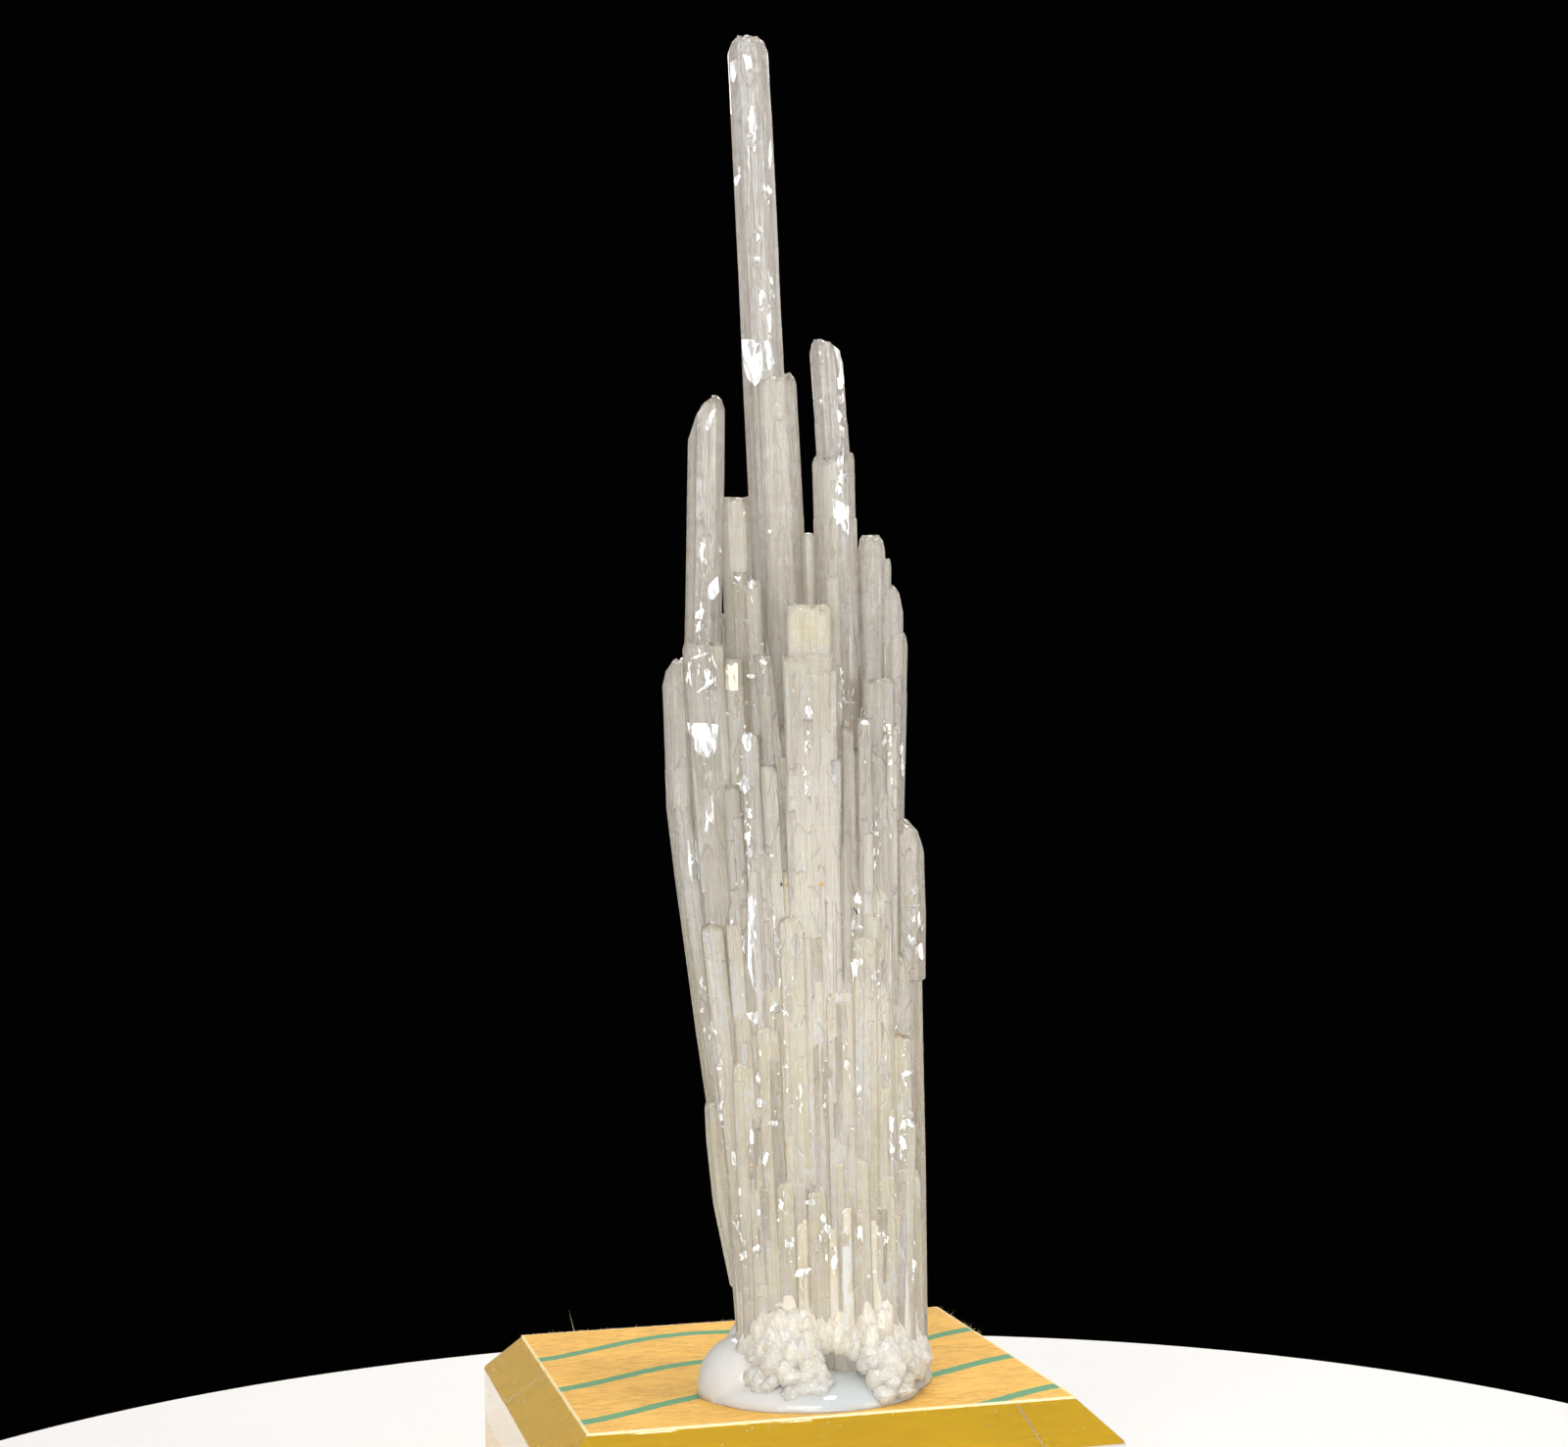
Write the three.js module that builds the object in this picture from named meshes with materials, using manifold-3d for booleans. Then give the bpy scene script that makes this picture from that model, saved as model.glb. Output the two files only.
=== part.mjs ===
// A selenite cluster: a bundle of long striated gypsum blades, set with a lump of hot-melt glue
// on a bevelled clear acrylic block that still wears its kraft masking paper, above and below.
// Millimetres, +Z up. The origin is the middle of the lower sheet's underside.

import * as THREE from 'three';
import { ConvexGeometry } from 'three/addons/geometries/ConvexGeometry.js';
import { mergeVertices } from 'three/addons/utils/BufferGeometryUtils.js';
import Module from 'manifold-3d';

// Block and its two sheets of paper.
const BLOCK_WIDTH = 50.8;
const BLOCK_HEIGHT = 18.8;
const BEVEL = 3.4;
const PAPER_WIDTH = BLOCK_WIDTH - 2 * BEVEL;
const LOWER_PAPER_WIDTH = 50;
const PAPER_THICKNESS = 0.2;
const BLOCK_TOP = PAPER_THICKNESS + BLOCK_HEIGHT;
const SHEET_TOP = BLOCK_TOP + PAPER_THICKNESS;

// Where the cluster stands on the block, and how far it is turned about the vertical.
const CLUSTER_X = 1.5;
const CLUSTER_Y = -9.5;
const CLUSTER_TURN = -13;

// The blades end this far above the paper, inside the glue.
const FOOT_LEVEL = 0.9;
const GLUE_GAP = 0.3;

// A path that ends no higher than this is carried down into the glue.
const BURIED_BELOW = 3;

// The glue climbs no higher than this.
const GLUE_REACH = 6;

// Blade section, as shares of half the width and half the thickness: flat front and back faces,
// a slanted face beside each, and a narrow edge face at each side.
const FACE_SHARE = 0.52;
const EDGE_SHARE = 0.34;

// Blade tip. The flat on top is this share of the thickness, and of the width on a square tip. A
// slant takes more of its width for each millimetre that it drops, at most past the middle.
const TIP_FACE_SHARE = 0.6;
const TIP_WIDTH_SHARE = 0.9;
const TIP_LOSS_PER_MM = 0.35;
const TIP_LEAST_SHARE = -0.3;
const TIP_SLANT_SHARE = 0.15;
const SHOULDER_SHARE = 0.12;

// Blade foot: how much of the section is left at its broken end, and how far it runs on.
const FOOT_SHARE = 0.9;
const FOOT_RUN = 1.2;

// Corners closer than this are one corner.
const MERGE_DISTANCE = 1e-4;

const wasm = await Module();
wasm.setup();

// Cluster coordinates: across (left to right), depth (front to back) and height above the paper.
// Each blade is { path, size, drop }: path runs from the tip to the foot as [across, depth, height]
// stations, size is [width, thickness], and drop is how far the tip slants down to its left and
// right corners.

const spires = [
  // the tall spire and the broader blade it rises from
  { path: [[-3.8, -0.3, 125], [-2.15, 0.1, 62]], size: [3.9, 3.1], drop: [1.3, 1.1] },
  { path: [[-2.3, 0.4, 93.4], [0.1, 0.8, 3]], size: [4.8, 4.4], drop: [1.7, 0.4] },
  // the left finger, with its slanted tip
  { path: [[-8.3, -0.6, 91.4], [-9.4, -0.6, 60]], size: [3.5, 3.3], drop: [3.4, 0.9] },
  { path: [[-9.1, -1.6, 68.6], [-5.2, -2.2, 2]], size: [4.1, 3.8], drop: [0.5, 0.7] },
  // the right finger, narrower above its step
  { path: [[2.85, -0.4, 96.4], [4.1, -0.2, 66]], size: [3.1, 2.8], drop: [0.5, 1.9] },
  { path: [[3.35, -0.2, 85.9], [3.7, 0, 2]], size: [4.1, 3.6], drop: [0.5, 0.2] },
];

const upperTips = [
  { path: [[-5.75, 0.9, 82], [-4, 1.4, 2]], size: [3.4, 3.2], drop: [0.3, 0.6] },
  { path: [[0.8, -1, 78.3], [1.2, -1.4, 3]], size: [1.2, 1.9], drop: [0.3, 0.5] },
  { path: [[6.65, 0.2, 78.3], [5.6, 0.4, 3]], size: [2.6, 3.1], drop: [0.7, 0.9] },
  { path: [[8.0, 0.5, 76], [6.6, 0.8, 3]], size: [1.1, 2.3], drop: [0.2, 0.6] },
  { path: [[8.6, 0.9, 73.6], [7.2, 1.2, 3]], size: [2.1, 2.8], drop: [0.4, 2.2] },
  { path: [[8.9, 0.2, 69], [5.8, 0.4, 3]], size: [2.1, 3.1], drop: [0.3, 0.9] },
];

const outerBlades = [
  // the long bowed blade along the left side, and the short cream one at its foot
  { path: [[-11.7, 0, 67.2], [-11.4, 0, 52], [-5.6, 0, 3]], size: [2.9, 3.6], drop: [1.9, 0.4] },
  { path: [[-8.95, -1.2, 26.4], [-8.75, -1.2, 19], [-7, -1.3, 9.5]], size: [2, 3], drop: [0.4, 0.9] },
  // the rounded blade at the lower right, and the step under it
  { path: [[9.2, -0.9, 52], [9.3, -0.9, 43], [9.05, -0.9, 37]], size: [3.2, 4], drop: [0.6, 2.3] },
  { path: [[8.5, 0.4, 44], [8.2, 0.4, 2]], size: [3.8, 4.8], drop: [0.4, 0.3] },
];

const frontBlades = [
  // the middle blade with the cream tip, and the ledge a little below it
  { path: [[0.6, -4.4, 71.6], [0.9, -4.2, 3]], size: [4.2, 3.4], drop: [0.3, 0.3] },
  { path: [[0.5, -4.3, 67.3], [0.9, -4.4, 2]], size: [4.9, 4.1], drop: [0.2, 0.2] },
  // the group left of it
  { path: [[-5.5, -2.2, 74.8], [-3.8, -2.6, 3]], size: [1.6, 2.3], drop: [0.5, 0.2] },
  { path: [[-4.4, -3, 74.1], [-2.8, -3.4, 3]], size: [1.5, 2.3], drop: [0.2, 0.2] },
  { path: [[-3.7, -3.8, 67], [-2.2, -3.8, 51], [-0.6, -3.8, 3]], size: [1.8, 2.5], drop: [0.1, 0.5] },
  { path: [[-6.3, -3.2, 66.7], [-4.2, -3.6, 3]], size: [1.7, 2.6], drop: [0.2, 0.1] },
  { path: [[-7.6, -2.6, 68.2], [-5, -3.2, 3]], size: [0.9, 1.9], drop: [0.2, 0.3] },
  { path: [[-3.3, -4.9, 57.2], [-1.6, -5, 3]], size: [1.7, 2.2], drop: [0.8, 0.7] },
  { path: [[-5, -4.9, 59.9], [-3.2, -5, 3]], size: [1.8, 2.4], drop: [0.9, 0.5] },
  { path: [[-6.7, -4.1, 55.4], [-4.6, -4.4, 3]], size: [1.5, 2.4], drop: [0.1, 0.2] },
  { path: [[-8.8, -3.3, 42.8], [-5.4, -3.8, 2]], size: [2.4, 2.6], drop: [0.3, 0.1] },
  { path: [[-6.8, -4.4, 43.2], [-4.6, -5, 2]], size: [1.6, 2.6], drop: [0.1, 0.2] },
  { path: [[-6, -4.8, 31], [-5.3, -5, 2]], size: [2.6, 2.8], drop: [0.5, 0.3] },
  // the group right of it
  { path: [[3.9, -4.4, 60.4], [3.8, -4.8, 3]], size: [1.2, 2.4], drop: [0.2, 0.3] },
  { path: [[2.9, -2.6, 74.4], [3.2, -3, 3]], size: [1.2, 2.2], drop: [0.1, 0.1] },
  { path: [[5.4, -4.5, 61.1], [4.7, -4.8, 3]], size: [1.2, 2.4], drop: [0.3, 0.1] },
  { path: [[8, -3.2, 60.6], [6.8, -3.6, 3]], size: [1.1, 2.2], drop: [0.1, 0.2] },
  { path: [[6.95, -2.2, 64.7], [6, -2.6, 2]], size: [3, 3.2], drop: [0.1, 0.2] },
  { path: [[5.7, -5.2, 43.7], [5.2, -5.4, 3]], size: [1.7, 1.9], drop: [0.1, 0.4] },
  { path: [[5, -5.6, 41.6], [4.4, -5.6, 3]], size: [2.2, 1.7], drop: [0.3, 0.1] },
  { path: [[7.7, -4.6, 32.6], [7.5, -4.4, 2]], size: [2.6, 2.8], drop: [0.3, 0.1] },
  // low blades that thicken the front
  { path: [[-1.6, -5.6, 43.5], [-1.2, -5.6, 3]], size: [2.3, 2], drop: [0.4, 0.6] },
  { path: [[2.5, -5.8, 36.5], [2.6, -5.8, 3]], size: [2.6, 1.9], drop: [0.9, 0.3] },
  { path: [[-3.9, -5.9, 33.5], [-3.2, -5.8, 2]], size: [2.3, 1.8], drop: [0.3, 0.7] },
];

const backBlades = [
  { path: [[-9.2, 1.9, 58.5], [-5.4, 2, 3]], size: [3.2, 3.2], drop: [1.6, 0.4] },
  { path: [[-6.7, 2.8, 71.5], [-4.4, 3.2, 3]], size: [2.4, 3.1], drop: [0.3, 1.2] },
  { path: [[-4.6, 4.2, 62], [-3, 4.4, 2]], size: [3.1, 3], drop: [1.3, 0.4] },
  { path: [[-2.9, 3, 86], [-1.6, 3.4, 3]], size: [2.6, 2.7], drop: [0.4, 1.8] },
  { path: [[-1, 4.2, 76.5], [-0.6, 4.6, 2]], size: [3.2, 3.1], drop: [0.6, 0.3] },
  { path: [[1, 2.9, 69], [1.2, 3.4, 3]], size: [2.4, 3], drop: [0.2, 0.9] },
  { path: [[3, 3.1, 80.5], [2.9, 3.4, 3]], size: [2.7, 2.9], drop: [1.5, 0.3] },
  { path: [[4.8, 3.7, 66], [4.5, 4.2, 2]], size: [2.9, 3.2], drop: [0.4, 0.8] },
  { path: [[6.6, 2.9, 71.5], [6, 3.2, 3]], size: [2, 2.9], drop: [0.3, 1.3] },
  { path: [[7.9, 2.6, 55], [7.3, 3, 2]], size: [2.2, 3.1], drop: [0.2, 1.8] },
  { path: [[-8, 3.6, 41], [-5.6, 3.8, 2]], size: [2.7, 3.2], drop: [1.4, 0.3] },
  { path: [[-5.7, 5.6, 46], [-4.2, 5.6, 2]], size: [2.4, 2.6], drop: [0.4, 0.4] },
  { path: [[-3, 6.2, 53], [-2.2, 6.2, 2]], size: [2.8, 2.7], drop: [0.9, 0.2] },
  { path: [[-0.3, 6.5, 61], [0, 6.6, 2]], size: [2.7, 2.6], drop: [0.3, 1.5] },
  { path: [[2.1, 6, 48], [2, 6.2, 2]], size: [2.6, 2.9], drop: [0.2, 0.5] },
  { path: [[4.4, 5.8, 57], [4, 5.8, 2]], size: [2.2, 2.6], drop: [1.1, 0.3] },
  { path: [[6.4, 5, 42], [6, 5, 2]], size: [2.6, 2.8], drop: [0.3, 1.2] },
  { path: [[-1.6, 7.7, 36], [-1.2, 7.6, 2]], size: [3, 1.9], drop: [0.3, 0.8] },
  { path: [[3, 7.4, 29], [2.8, 7.2, 2]], size: [3.2, 1.9], drop: [0.9, 0.3] },
];

// Broken splinters that splay out around the foot. Those that end higher hang over the glue.
const footSplinters = [
  { path: [[-5.6, -4.6, 13], [-6.6, -6.2, 2]], size: [1.9, 1.9], drop: [0.6, 0.9] },
  { path: [[-4.2, -5.6, 10.5], [-5, -7.6, 1.8]], size: [1.9, 2], drop: [0.3, 1.1] },
  { path: [[-2.7, -5.9, 8.5], [-3.1, -8.2, 1.5]], size: [1.8, 1.9], drop: [0.8, 0.3] },
  { path: [[-1.7, -5.8, 12], [-1.5, -7.9, 2.2]], size: [1.5, 1.8], drop: [0.3, 0.7] },
  { path: [[0.1, -5.9, 9.5], [0.3, -7.1, 4.4]], size: [2, 1.8], drop: [0.9, 0.4] },
  { path: [[1.7, -6, 8], [1.9, -7.3, 5]], size: [1.7, 1.7], drop: [0.3, 1] },
  { path: [[3.3, -5.9, 9], [3.6, -7.2, 3.6]], size: [1.9, 1.9], drop: [0.8, 0.3] },
  { path: [[5.2, -5.6, 9.5], [5.1, -8.6, 2.4]], size: [1.7, 1.9], drop: [0.9, 0.3] },
  { path: [[6.6, -5.2, 6.5], [6.1, -9.4, 1.4]], size: [1.6, 1.7], drop: [0.3, 0.8] },
  { path: [[7.8, -4.4, 12], [8.2, -5.8, 2.4]], size: [1.8, 2], drop: [0.4, 1] },
  { path: [[8.9, -2.4, 9], [9.2, -3.4, 2]], size: [1.5, 2.1], drop: [0.2, 0.8] },
  { path: [[8.8, 2.6, 8], [9.1, 3.6, 1.8]], size: [1.7, 2.2], drop: [0.4, 0.9] },
  { path: [[6.4, 5.4, 10], [6.9, 7, 2]], size: [2, 1.9], drop: [0.9, 0.3] },
  { path: [[3.4, 6.8, 7.5], [3.6, 8.6, 1.8]], size: [2.1, 1.8], drop: [0.3, 0.9] },
  { path: [[1.5, 7, 9], [1.6, 8.4, 3.8]], size: [1.8, 1.7], drop: [0.5, 0.6] },
  { path: [[-0.4, 7.2, 11], [-0.6, 8.9, 2]], size: [2, 1.8], drop: [0.7, 0.4] },
  { path: [[-3.8, 6.2, 8], [-4.4, 7.8, 1.8]], size: [2, 1.9], drop: [0.4, 1] },
  { path: [[-6, 3.6, 9], [-6.9, 4.8, 2]], size: [1.8, 2.1], drop: [0.9, 0.3] },
  { path: [[-6.4, -0.6, 7], [-7.4, -0.9, 2.6]], size: [1.5, 2], drop: [0.4, 0.7] },
];

// Glue lobes: [across, depth, half width, half depth, height].
const glueLobes = [
  [-0.6, -3.4, 9.6, 8.6, 2.7],
  [-6.4, -2.9, 4.8, 5.4, 5.2],
  [-5.2, 4, 4, 4.4, 5.9],
  [3.9, 1.6, 6.6, 7.9, 3.6],
];
const LOBE_SEGMENTS = 24;
const LOBE_RINGS = 5;
const LOBE_SQUARENESS = 2.2;

const allBlades = [spires, upperTips, outerBlades, frontBlades, backBlades, footSplinters].flat();

// Section of a blade, as a ring of [across, depth] corners.
function bladeSection(halfWidth, halfThickness) {
  const ring = [];
  for (const back of [-1, 1]) {
    for (const side of [back, -back]) {
      const face = [side * halfWidth * FACE_SHARE, back * halfThickness];
      const edge = [side * halfWidth, back * halfThickness * EDGE_SHARE];
      ring.push(face, edge);
    }
  }
  return ring;
}

// One blade: the hull of a section at every station of its path and of a smaller flat at the tip.
function bladeGeometry({ path, size, drop }, grow = 0) {
  const halfWidth = size[0] / 2 + grow;
  const halfThickness = size[1] / 2 + grow;
  const [dropLeft, dropRight] = drop;
  const tip = path[0];
  const foot = path[path.length - 1];
  const points = [];
  for (const [across, depth] of bladeSection(halfWidth, halfThickness)) {
    for (const station of path.slice(1)) {
      points.push(new THREE.Vector3(station[0] + across, station[1] + depth, station[2]));
    }
    const slant = across < 0 ? dropLeft : dropRight;
    const share = Math.abs(across) / halfWidth;
    const shoulder = tip[2] - slant * share - SHOULDER_SHARE * size[1];
    points.push(new THREE.Vector3(tip[0] + across, tip[1] + depth, shoulder));
  }
  for (const side of [-1, 1]) {
    const slant = side < 0 ? dropLeft : dropRight;
    const reach = Math.max(TIP_LEAST_SHARE, TIP_WIDTH_SHARE - TIP_LOSS_PER_MM * slant);
    for (const back of [-1, 1]) {
      const across = side * halfWidth * reach;
      const depth = back * halfThickness * TIP_FACE_SHARE;
      const height = tip[2] - TIP_SLANT_SHARE * slant;
      points.push(new THREE.Vector3(tip[0] + across, tip[1] + depth, height));
    }
  }
  if (foot[2] <= BURIED_BELOW) {
    const lowest = Math.max(FOOT_LEVEL, foot[2] - FOOT_RUN) - grow;
    for (const [across, depth] of bladeSection(halfWidth * FOOT_SHARE, halfThickness * FOOT_SHARE)) {
      points.push(new THREE.Vector3(foot[0] + across, foot[1] + depth, lowest));
    }
  }
  return new ConvexGeometry(points);
}

// A closed geometry as a solid that can be joined and cut.
function toSolid(geometry) {
  const bare = geometry.clone();
  bare.deleteAttribute('normal');
  bare.deleteAttribute('uv');
  const merged = mergeVertices(bare, MERGE_DISTANCE);
  const vertProperties = new Float32Array(merged.getAttribute('position').array);
  const triVerts = new Uint32Array(merged.getIndex().array);
  return new wasm.Manifold(new wasm.Mesh({ numProp: 3, vertProperties, triVerts }));
}

// A solid back as a geometry.
function toGeometry(solid) {
  const { vertProperties, triVerts } = solid.getMesh();
  const geometry = new THREE.BufferGeometry();
  geometry.setAttribute('position', new THREE.BufferAttribute(vertProperties, 3));
  geometry.setIndex(new THREE.BufferAttribute(triVerts, 1));
  geometry.computeVertexNormals();
  return geometry;
}

function joinAll(geometries) {
  return geometries.map(toSolid).reduce((joined, next) => joined.add(next));
}

// The outer skin alone: small hollows left between joined pieces are filled, crumbs dropped.
function largestBody(solid) {
  const bodies = solid.decompose();
  return bodies.reduce((largest, body) => (body.volume() > largest.volume() ? body : largest));
}

function clusterGeometry() {
  return toGeometry(largestBody(joinAll(allBlades.map((blade) => bladeGeometry(blade)))));
}

// One glue lobe: a dome turned about its own axis and stretched to its half sizes.
function lobeGeometry([across, depth, halfWidth, halfDepth, height]) {
  const profile = [new THREE.Vector2(0, 0)];
  for (let i = 0; i <= LOBE_RINGS; i += 1) {
    const angle = (i / LOBE_RINGS) * (Math.PI / 2);
    const radius = Math.cos(angle) ** (2 / LOBE_SQUARENESS);
    const rise = Math.sin(angle) ** (2 / LOBE_SQUARENESS);
    profile.push(new THREE.Vector2(i === LOBE_RINGS ? 0 : radius, rise));
  }
  const dome = new THREE.LatheGeometry(profile, LOBE_SEGMENTS);
  dome.rotateX(Math.PI / 2);
  dome.scale(halfWidth, halfDepth, height);
  dome.translate(across, depth, 0);
  return dome;
}

// The glue with a pocket for the foot of the cluster, GLUE_GAP larger all round.
function glueGeometry() {
  const near = allBlades.filter(({ path }) => path[path.length - 1][2] < GLUE_REACH);
  const foot = joinAll(near.map((blade) => bladeGeometry(blade, GLUE_GAP)));
  return toGeometry(largestBody(joinAll(glueLobes.map(lobeGeometry)).subtract(foot)));
}

function blockGeometry() {
  const outer = BLOCK_WIDTH / 2;
  const inner = PAPER_WIDTH / 2;
  const levels = [
    [outer, 0],
    [outer, BLOCK_HEIGHT - BEVEL],
    [inner, BLOCK_HEIGHT],
  ];
  const corners = [];
  for (const [half, height] of levels) {
    for (const x of [-half, half]) {
      for (const y of [-half, half]) {
        corners.push(new THREE.Vector3(x, y, height));
      }
    }
  }
  return new ConvexGeometry(corners);
}

function namedMesh(name, geometry, color, roughness) {
  const material = new THREE.MeshStandardMaterial({ color, roughness, metalness: 0 });
  const mesh = new THREE.Mesh(geometry, material);
  mesh.name = name;
  return mesh;
}

const block = namedMesh('acrylic_block', blockGeometry(), 0xcfc9d2, 0.05);
block.position.z = PAPER_THICKNESS;

const paperSlab = new THREE.BoxGeometry(PAPER_WIDTH, PAPER_WIDTH, PAPER_THICKNESS);
const paper = namedMesh('masking_paper', paperSlab, 0xcfa468, 0.85);
paper.position.z = BLOCK_TOP + PAPER_THICKNESS / 2;

const lowerSlab = new THREE.BoxGeometry(LOWER_PAPER_WIDTH, LOWER_PAPER_WIDTH, PAPER_THICKNESS);
const lowerPaper = namedMesh('underside_paper', lowerSlab, 0xd9a520, 0.85);
lowerPaper.position.z = PAPER_THICKNESS / 2;

const glue = namedMesh('glue_lump', glueGeometry(), 0xc9d0d6, 0.25);
const cluster = namedMesh('selenite_cluster', clusterGeometry(), 0xd8d3c4, 0.3);

const standing = new THREE.Group();
standing.position.set(CLUSTER_X, CLUSTER_Y, SHEET_TOP);
standing.rotation.z = THREE.MathUtils.degToRad(CLUSTER_TURN);
standing.add(glue, cluster);

const model = new THREE.Group();
model.add(lowerPaper, block, paper, standing);

export default model;
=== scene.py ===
"""Finished looks of a selenite cluster on a display block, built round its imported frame."""

import math

import bmesh
import bpy
import numpy as np
from mathutils import Matrix, Vector


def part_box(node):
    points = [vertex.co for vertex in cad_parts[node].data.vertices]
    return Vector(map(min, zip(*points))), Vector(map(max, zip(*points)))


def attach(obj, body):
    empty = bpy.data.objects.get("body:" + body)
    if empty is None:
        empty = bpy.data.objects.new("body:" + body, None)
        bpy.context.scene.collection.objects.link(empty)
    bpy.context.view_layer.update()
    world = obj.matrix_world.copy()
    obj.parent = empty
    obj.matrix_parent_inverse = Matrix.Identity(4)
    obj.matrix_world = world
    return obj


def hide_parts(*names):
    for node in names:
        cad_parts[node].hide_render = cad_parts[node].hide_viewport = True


bl_info = {
    "name": "Selenite cluster on a display block",
    "version": (1, 0, 0),
    "blender": (4, 5, 0),
    "location": "View3D > Sidebar > Selenite",
    "description": "Crystals, glue, masking paper, acrylic block and stage, round the packed frame",
    "category": "Object",
}

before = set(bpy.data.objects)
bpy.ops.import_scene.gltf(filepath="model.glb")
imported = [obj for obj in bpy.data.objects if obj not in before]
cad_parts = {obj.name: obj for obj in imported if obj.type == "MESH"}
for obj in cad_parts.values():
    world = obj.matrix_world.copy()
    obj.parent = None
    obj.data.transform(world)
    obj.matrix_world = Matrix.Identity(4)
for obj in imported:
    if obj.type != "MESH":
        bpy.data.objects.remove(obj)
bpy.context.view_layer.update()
BODY = "root"
MM = 0.001
FRONT, BACK = -1, 1

# Where the cluster stands, as in the part's source: millimetres and degrees. Its foot starts at
# FOOT_LEVEL, and blades that end under BURIED_BELOW run on into the glue.
CLUSTER_PLACE = (1.5, -9.5, 19.2)
CLUSTER_TURN = -13.0
FOOT_LEVEL = 0.9
BURIED_BELOW = 3.0

# Blade section and tip, as in the part's source.
FACE_SHARE = 0.52
EDGE_SHARE = 0.34
TIP_FACE_SHARE = 0.6
TIP_WIDTH_SHARE = 0.9
TIP_LOSS_PER_MM = 0.35
TIP_LEAST_SHARE = -0.3
TIP_SLANT_SHARE = 0.15
SHOULDER_SHARE = 0.12
FOOT_RUN = 1.2

# Blades this far to the front have squarer sections, by this share.
FRONT_DEPTH = -1.5
SQUARE_FRONT = 0.8

# Strips: the groove between two in millimetres, how unevenly they part a side as a share of one,
# their slope out of it, the share that steps in or out at a ledge, and half a ledge's height.
STRIP_GROOVE = 0.012
STRIP_UNEVEN = 0.33
STRIP_TILT = 0.09
STEP_CHANCE = 0.38
LEDGE_HALF = 0.03

# Broken tips: share of strips with a notch, notch depths in millimetres, and the dip toward the
# front or back. Blades with a smaller half size than THIN_BLADE have smaller notches. Last come
# the heights over the tip that its rows have in the pattern.
NOTCH_CHANCE = 0.45
NOTCH_DEPTH = (0.05, 0.55)
FINE_NOTCH = 0.12
TIP_DIP = (-0.35, 0.7)
THIN_BLADE = 1.2
TIP_LEVELS = (1.2, 0.6, 0.3)

# How a blade's foot closes: share of its width that is left, and the drop in millimetres.
FOOT_TAPER = 0.6
FOOT_CLOSE = 0.35

# Blades bend and swell slowly along their length: sizes, and radians for each millimetre.
SWAY, SWAY_TURN = 0.05, (0.11, 0.17)
SWELL, SWELL_TURN = 0.012, 0.31

# Warmth that a blade gains toward the foot and near its tip: heights, or depths under the
# tip, in millimetres, and warmth there. Tall spires gain less at their tips.
FOOT_WARMTH = ([6, 16, 34, 52], [0.25, 0.6, 0.35, 0])
TIP_WARMTH, SPIRE_WARMTH, SPIRE_TOP = 0.3, 0.1, 80
WARM_TIP = (2.2, 1.2)

# Spread of the places in the pattern that pieces start from, in millimetres.
PATTERN_SPREAD = 400

# How far light spreads under the milky crystal's skin, in metres.
SOFT_REACH = 0.0035

# The crystal's finishes, in the order of the cluster's material slots: transmission, roughness,
# streak contrast, crack share, fleck share, absorption colour and density, brightness of the
# cool tint, and share of light under the skin.
CRYSTAL_LOOKS = {
    "clear": (0.84, 0.05, 0.80, 0.9, 0.9, (0.93, 0.90, 0.89), 8, 1.66, 0.3),
    "silky": (0.76, 0.11, 0.60, 0.9, 0.8, (0.93, 0.90, 0.86), 8, 1.60, 0.85),
    "milky": (0.65, 0.15, 0.45, 0.9, 0.8, (0.94, 0.90, 0.83), 8, 1.53, 0.9),
    "cream": (0.60, 0.16, 0.35, 0.6, 0.4, (0.95, 0.88, 0.72), 14, 1.30, 0.8),
    "druse": (0.44, 0.14, 0.40, 0.6, 1.0, (0.95, 0.93, 0.88), 6, 1.64, 0.8),
}
FINISHES = tuple(CRYSTAL_LOOKS)

# Cleavage faces: colour, and how clear they are. Their white is a painted reflection of light off
# the cleavage planes.
CHIP_LOOKS = {
    "white": ((0.92, 0.92, 0.91), 0.12),
    "cream": ((0.93, 0.86, 0.66), 0.2),
    "stain": ((0.62, 0.36, 0.10), 0.2),
    "speck": ((0.03, 0.03, 0.07), 0.0),
}
TONES = tuple(CHIP_LOOKS)

# Blades in millimetres of the cluster: middle line from tip to foot as (across, depth, height),
# size as (width, thickness), drop of the tip to its left and right, finish, and warmth from 0 to 1.
SPIRES = [
    ([(-3.8, -0.3, 125), (-2.15, 0.1, 62)], (3.9, 3.1), (1.3, 1.1), "clear", 0.1),
    ([(-2.3, 0.4, 93.4), (0.1, 0.8, 3)], (4.8, 4.4), (1.7, 0.4), "silky", 0.3),
    ([(-8.3, -0.6, 91.4), (-9.4, -0.6, 60)], (3.5, 3.3), (3.4, 0.9), "clear", 0.35),
    ([(-9.1, -1.6, 68.6), (-5.2, -2.2, 2)], (4.1, 3.8), (0.5, 0.7), "silky", 0.3),
    ([(2.85, -0.4, 96.4), (4.1, -0.2, 66)], (3.1, 2.8), (0.5, 1.9), "clear", 0.1),
    ([(3.35, -0.2, 85.9), (3.7, 0, 2)], (4.1, 3.6), (0.5, 0.2), "silky", 0.3),
]
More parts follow.
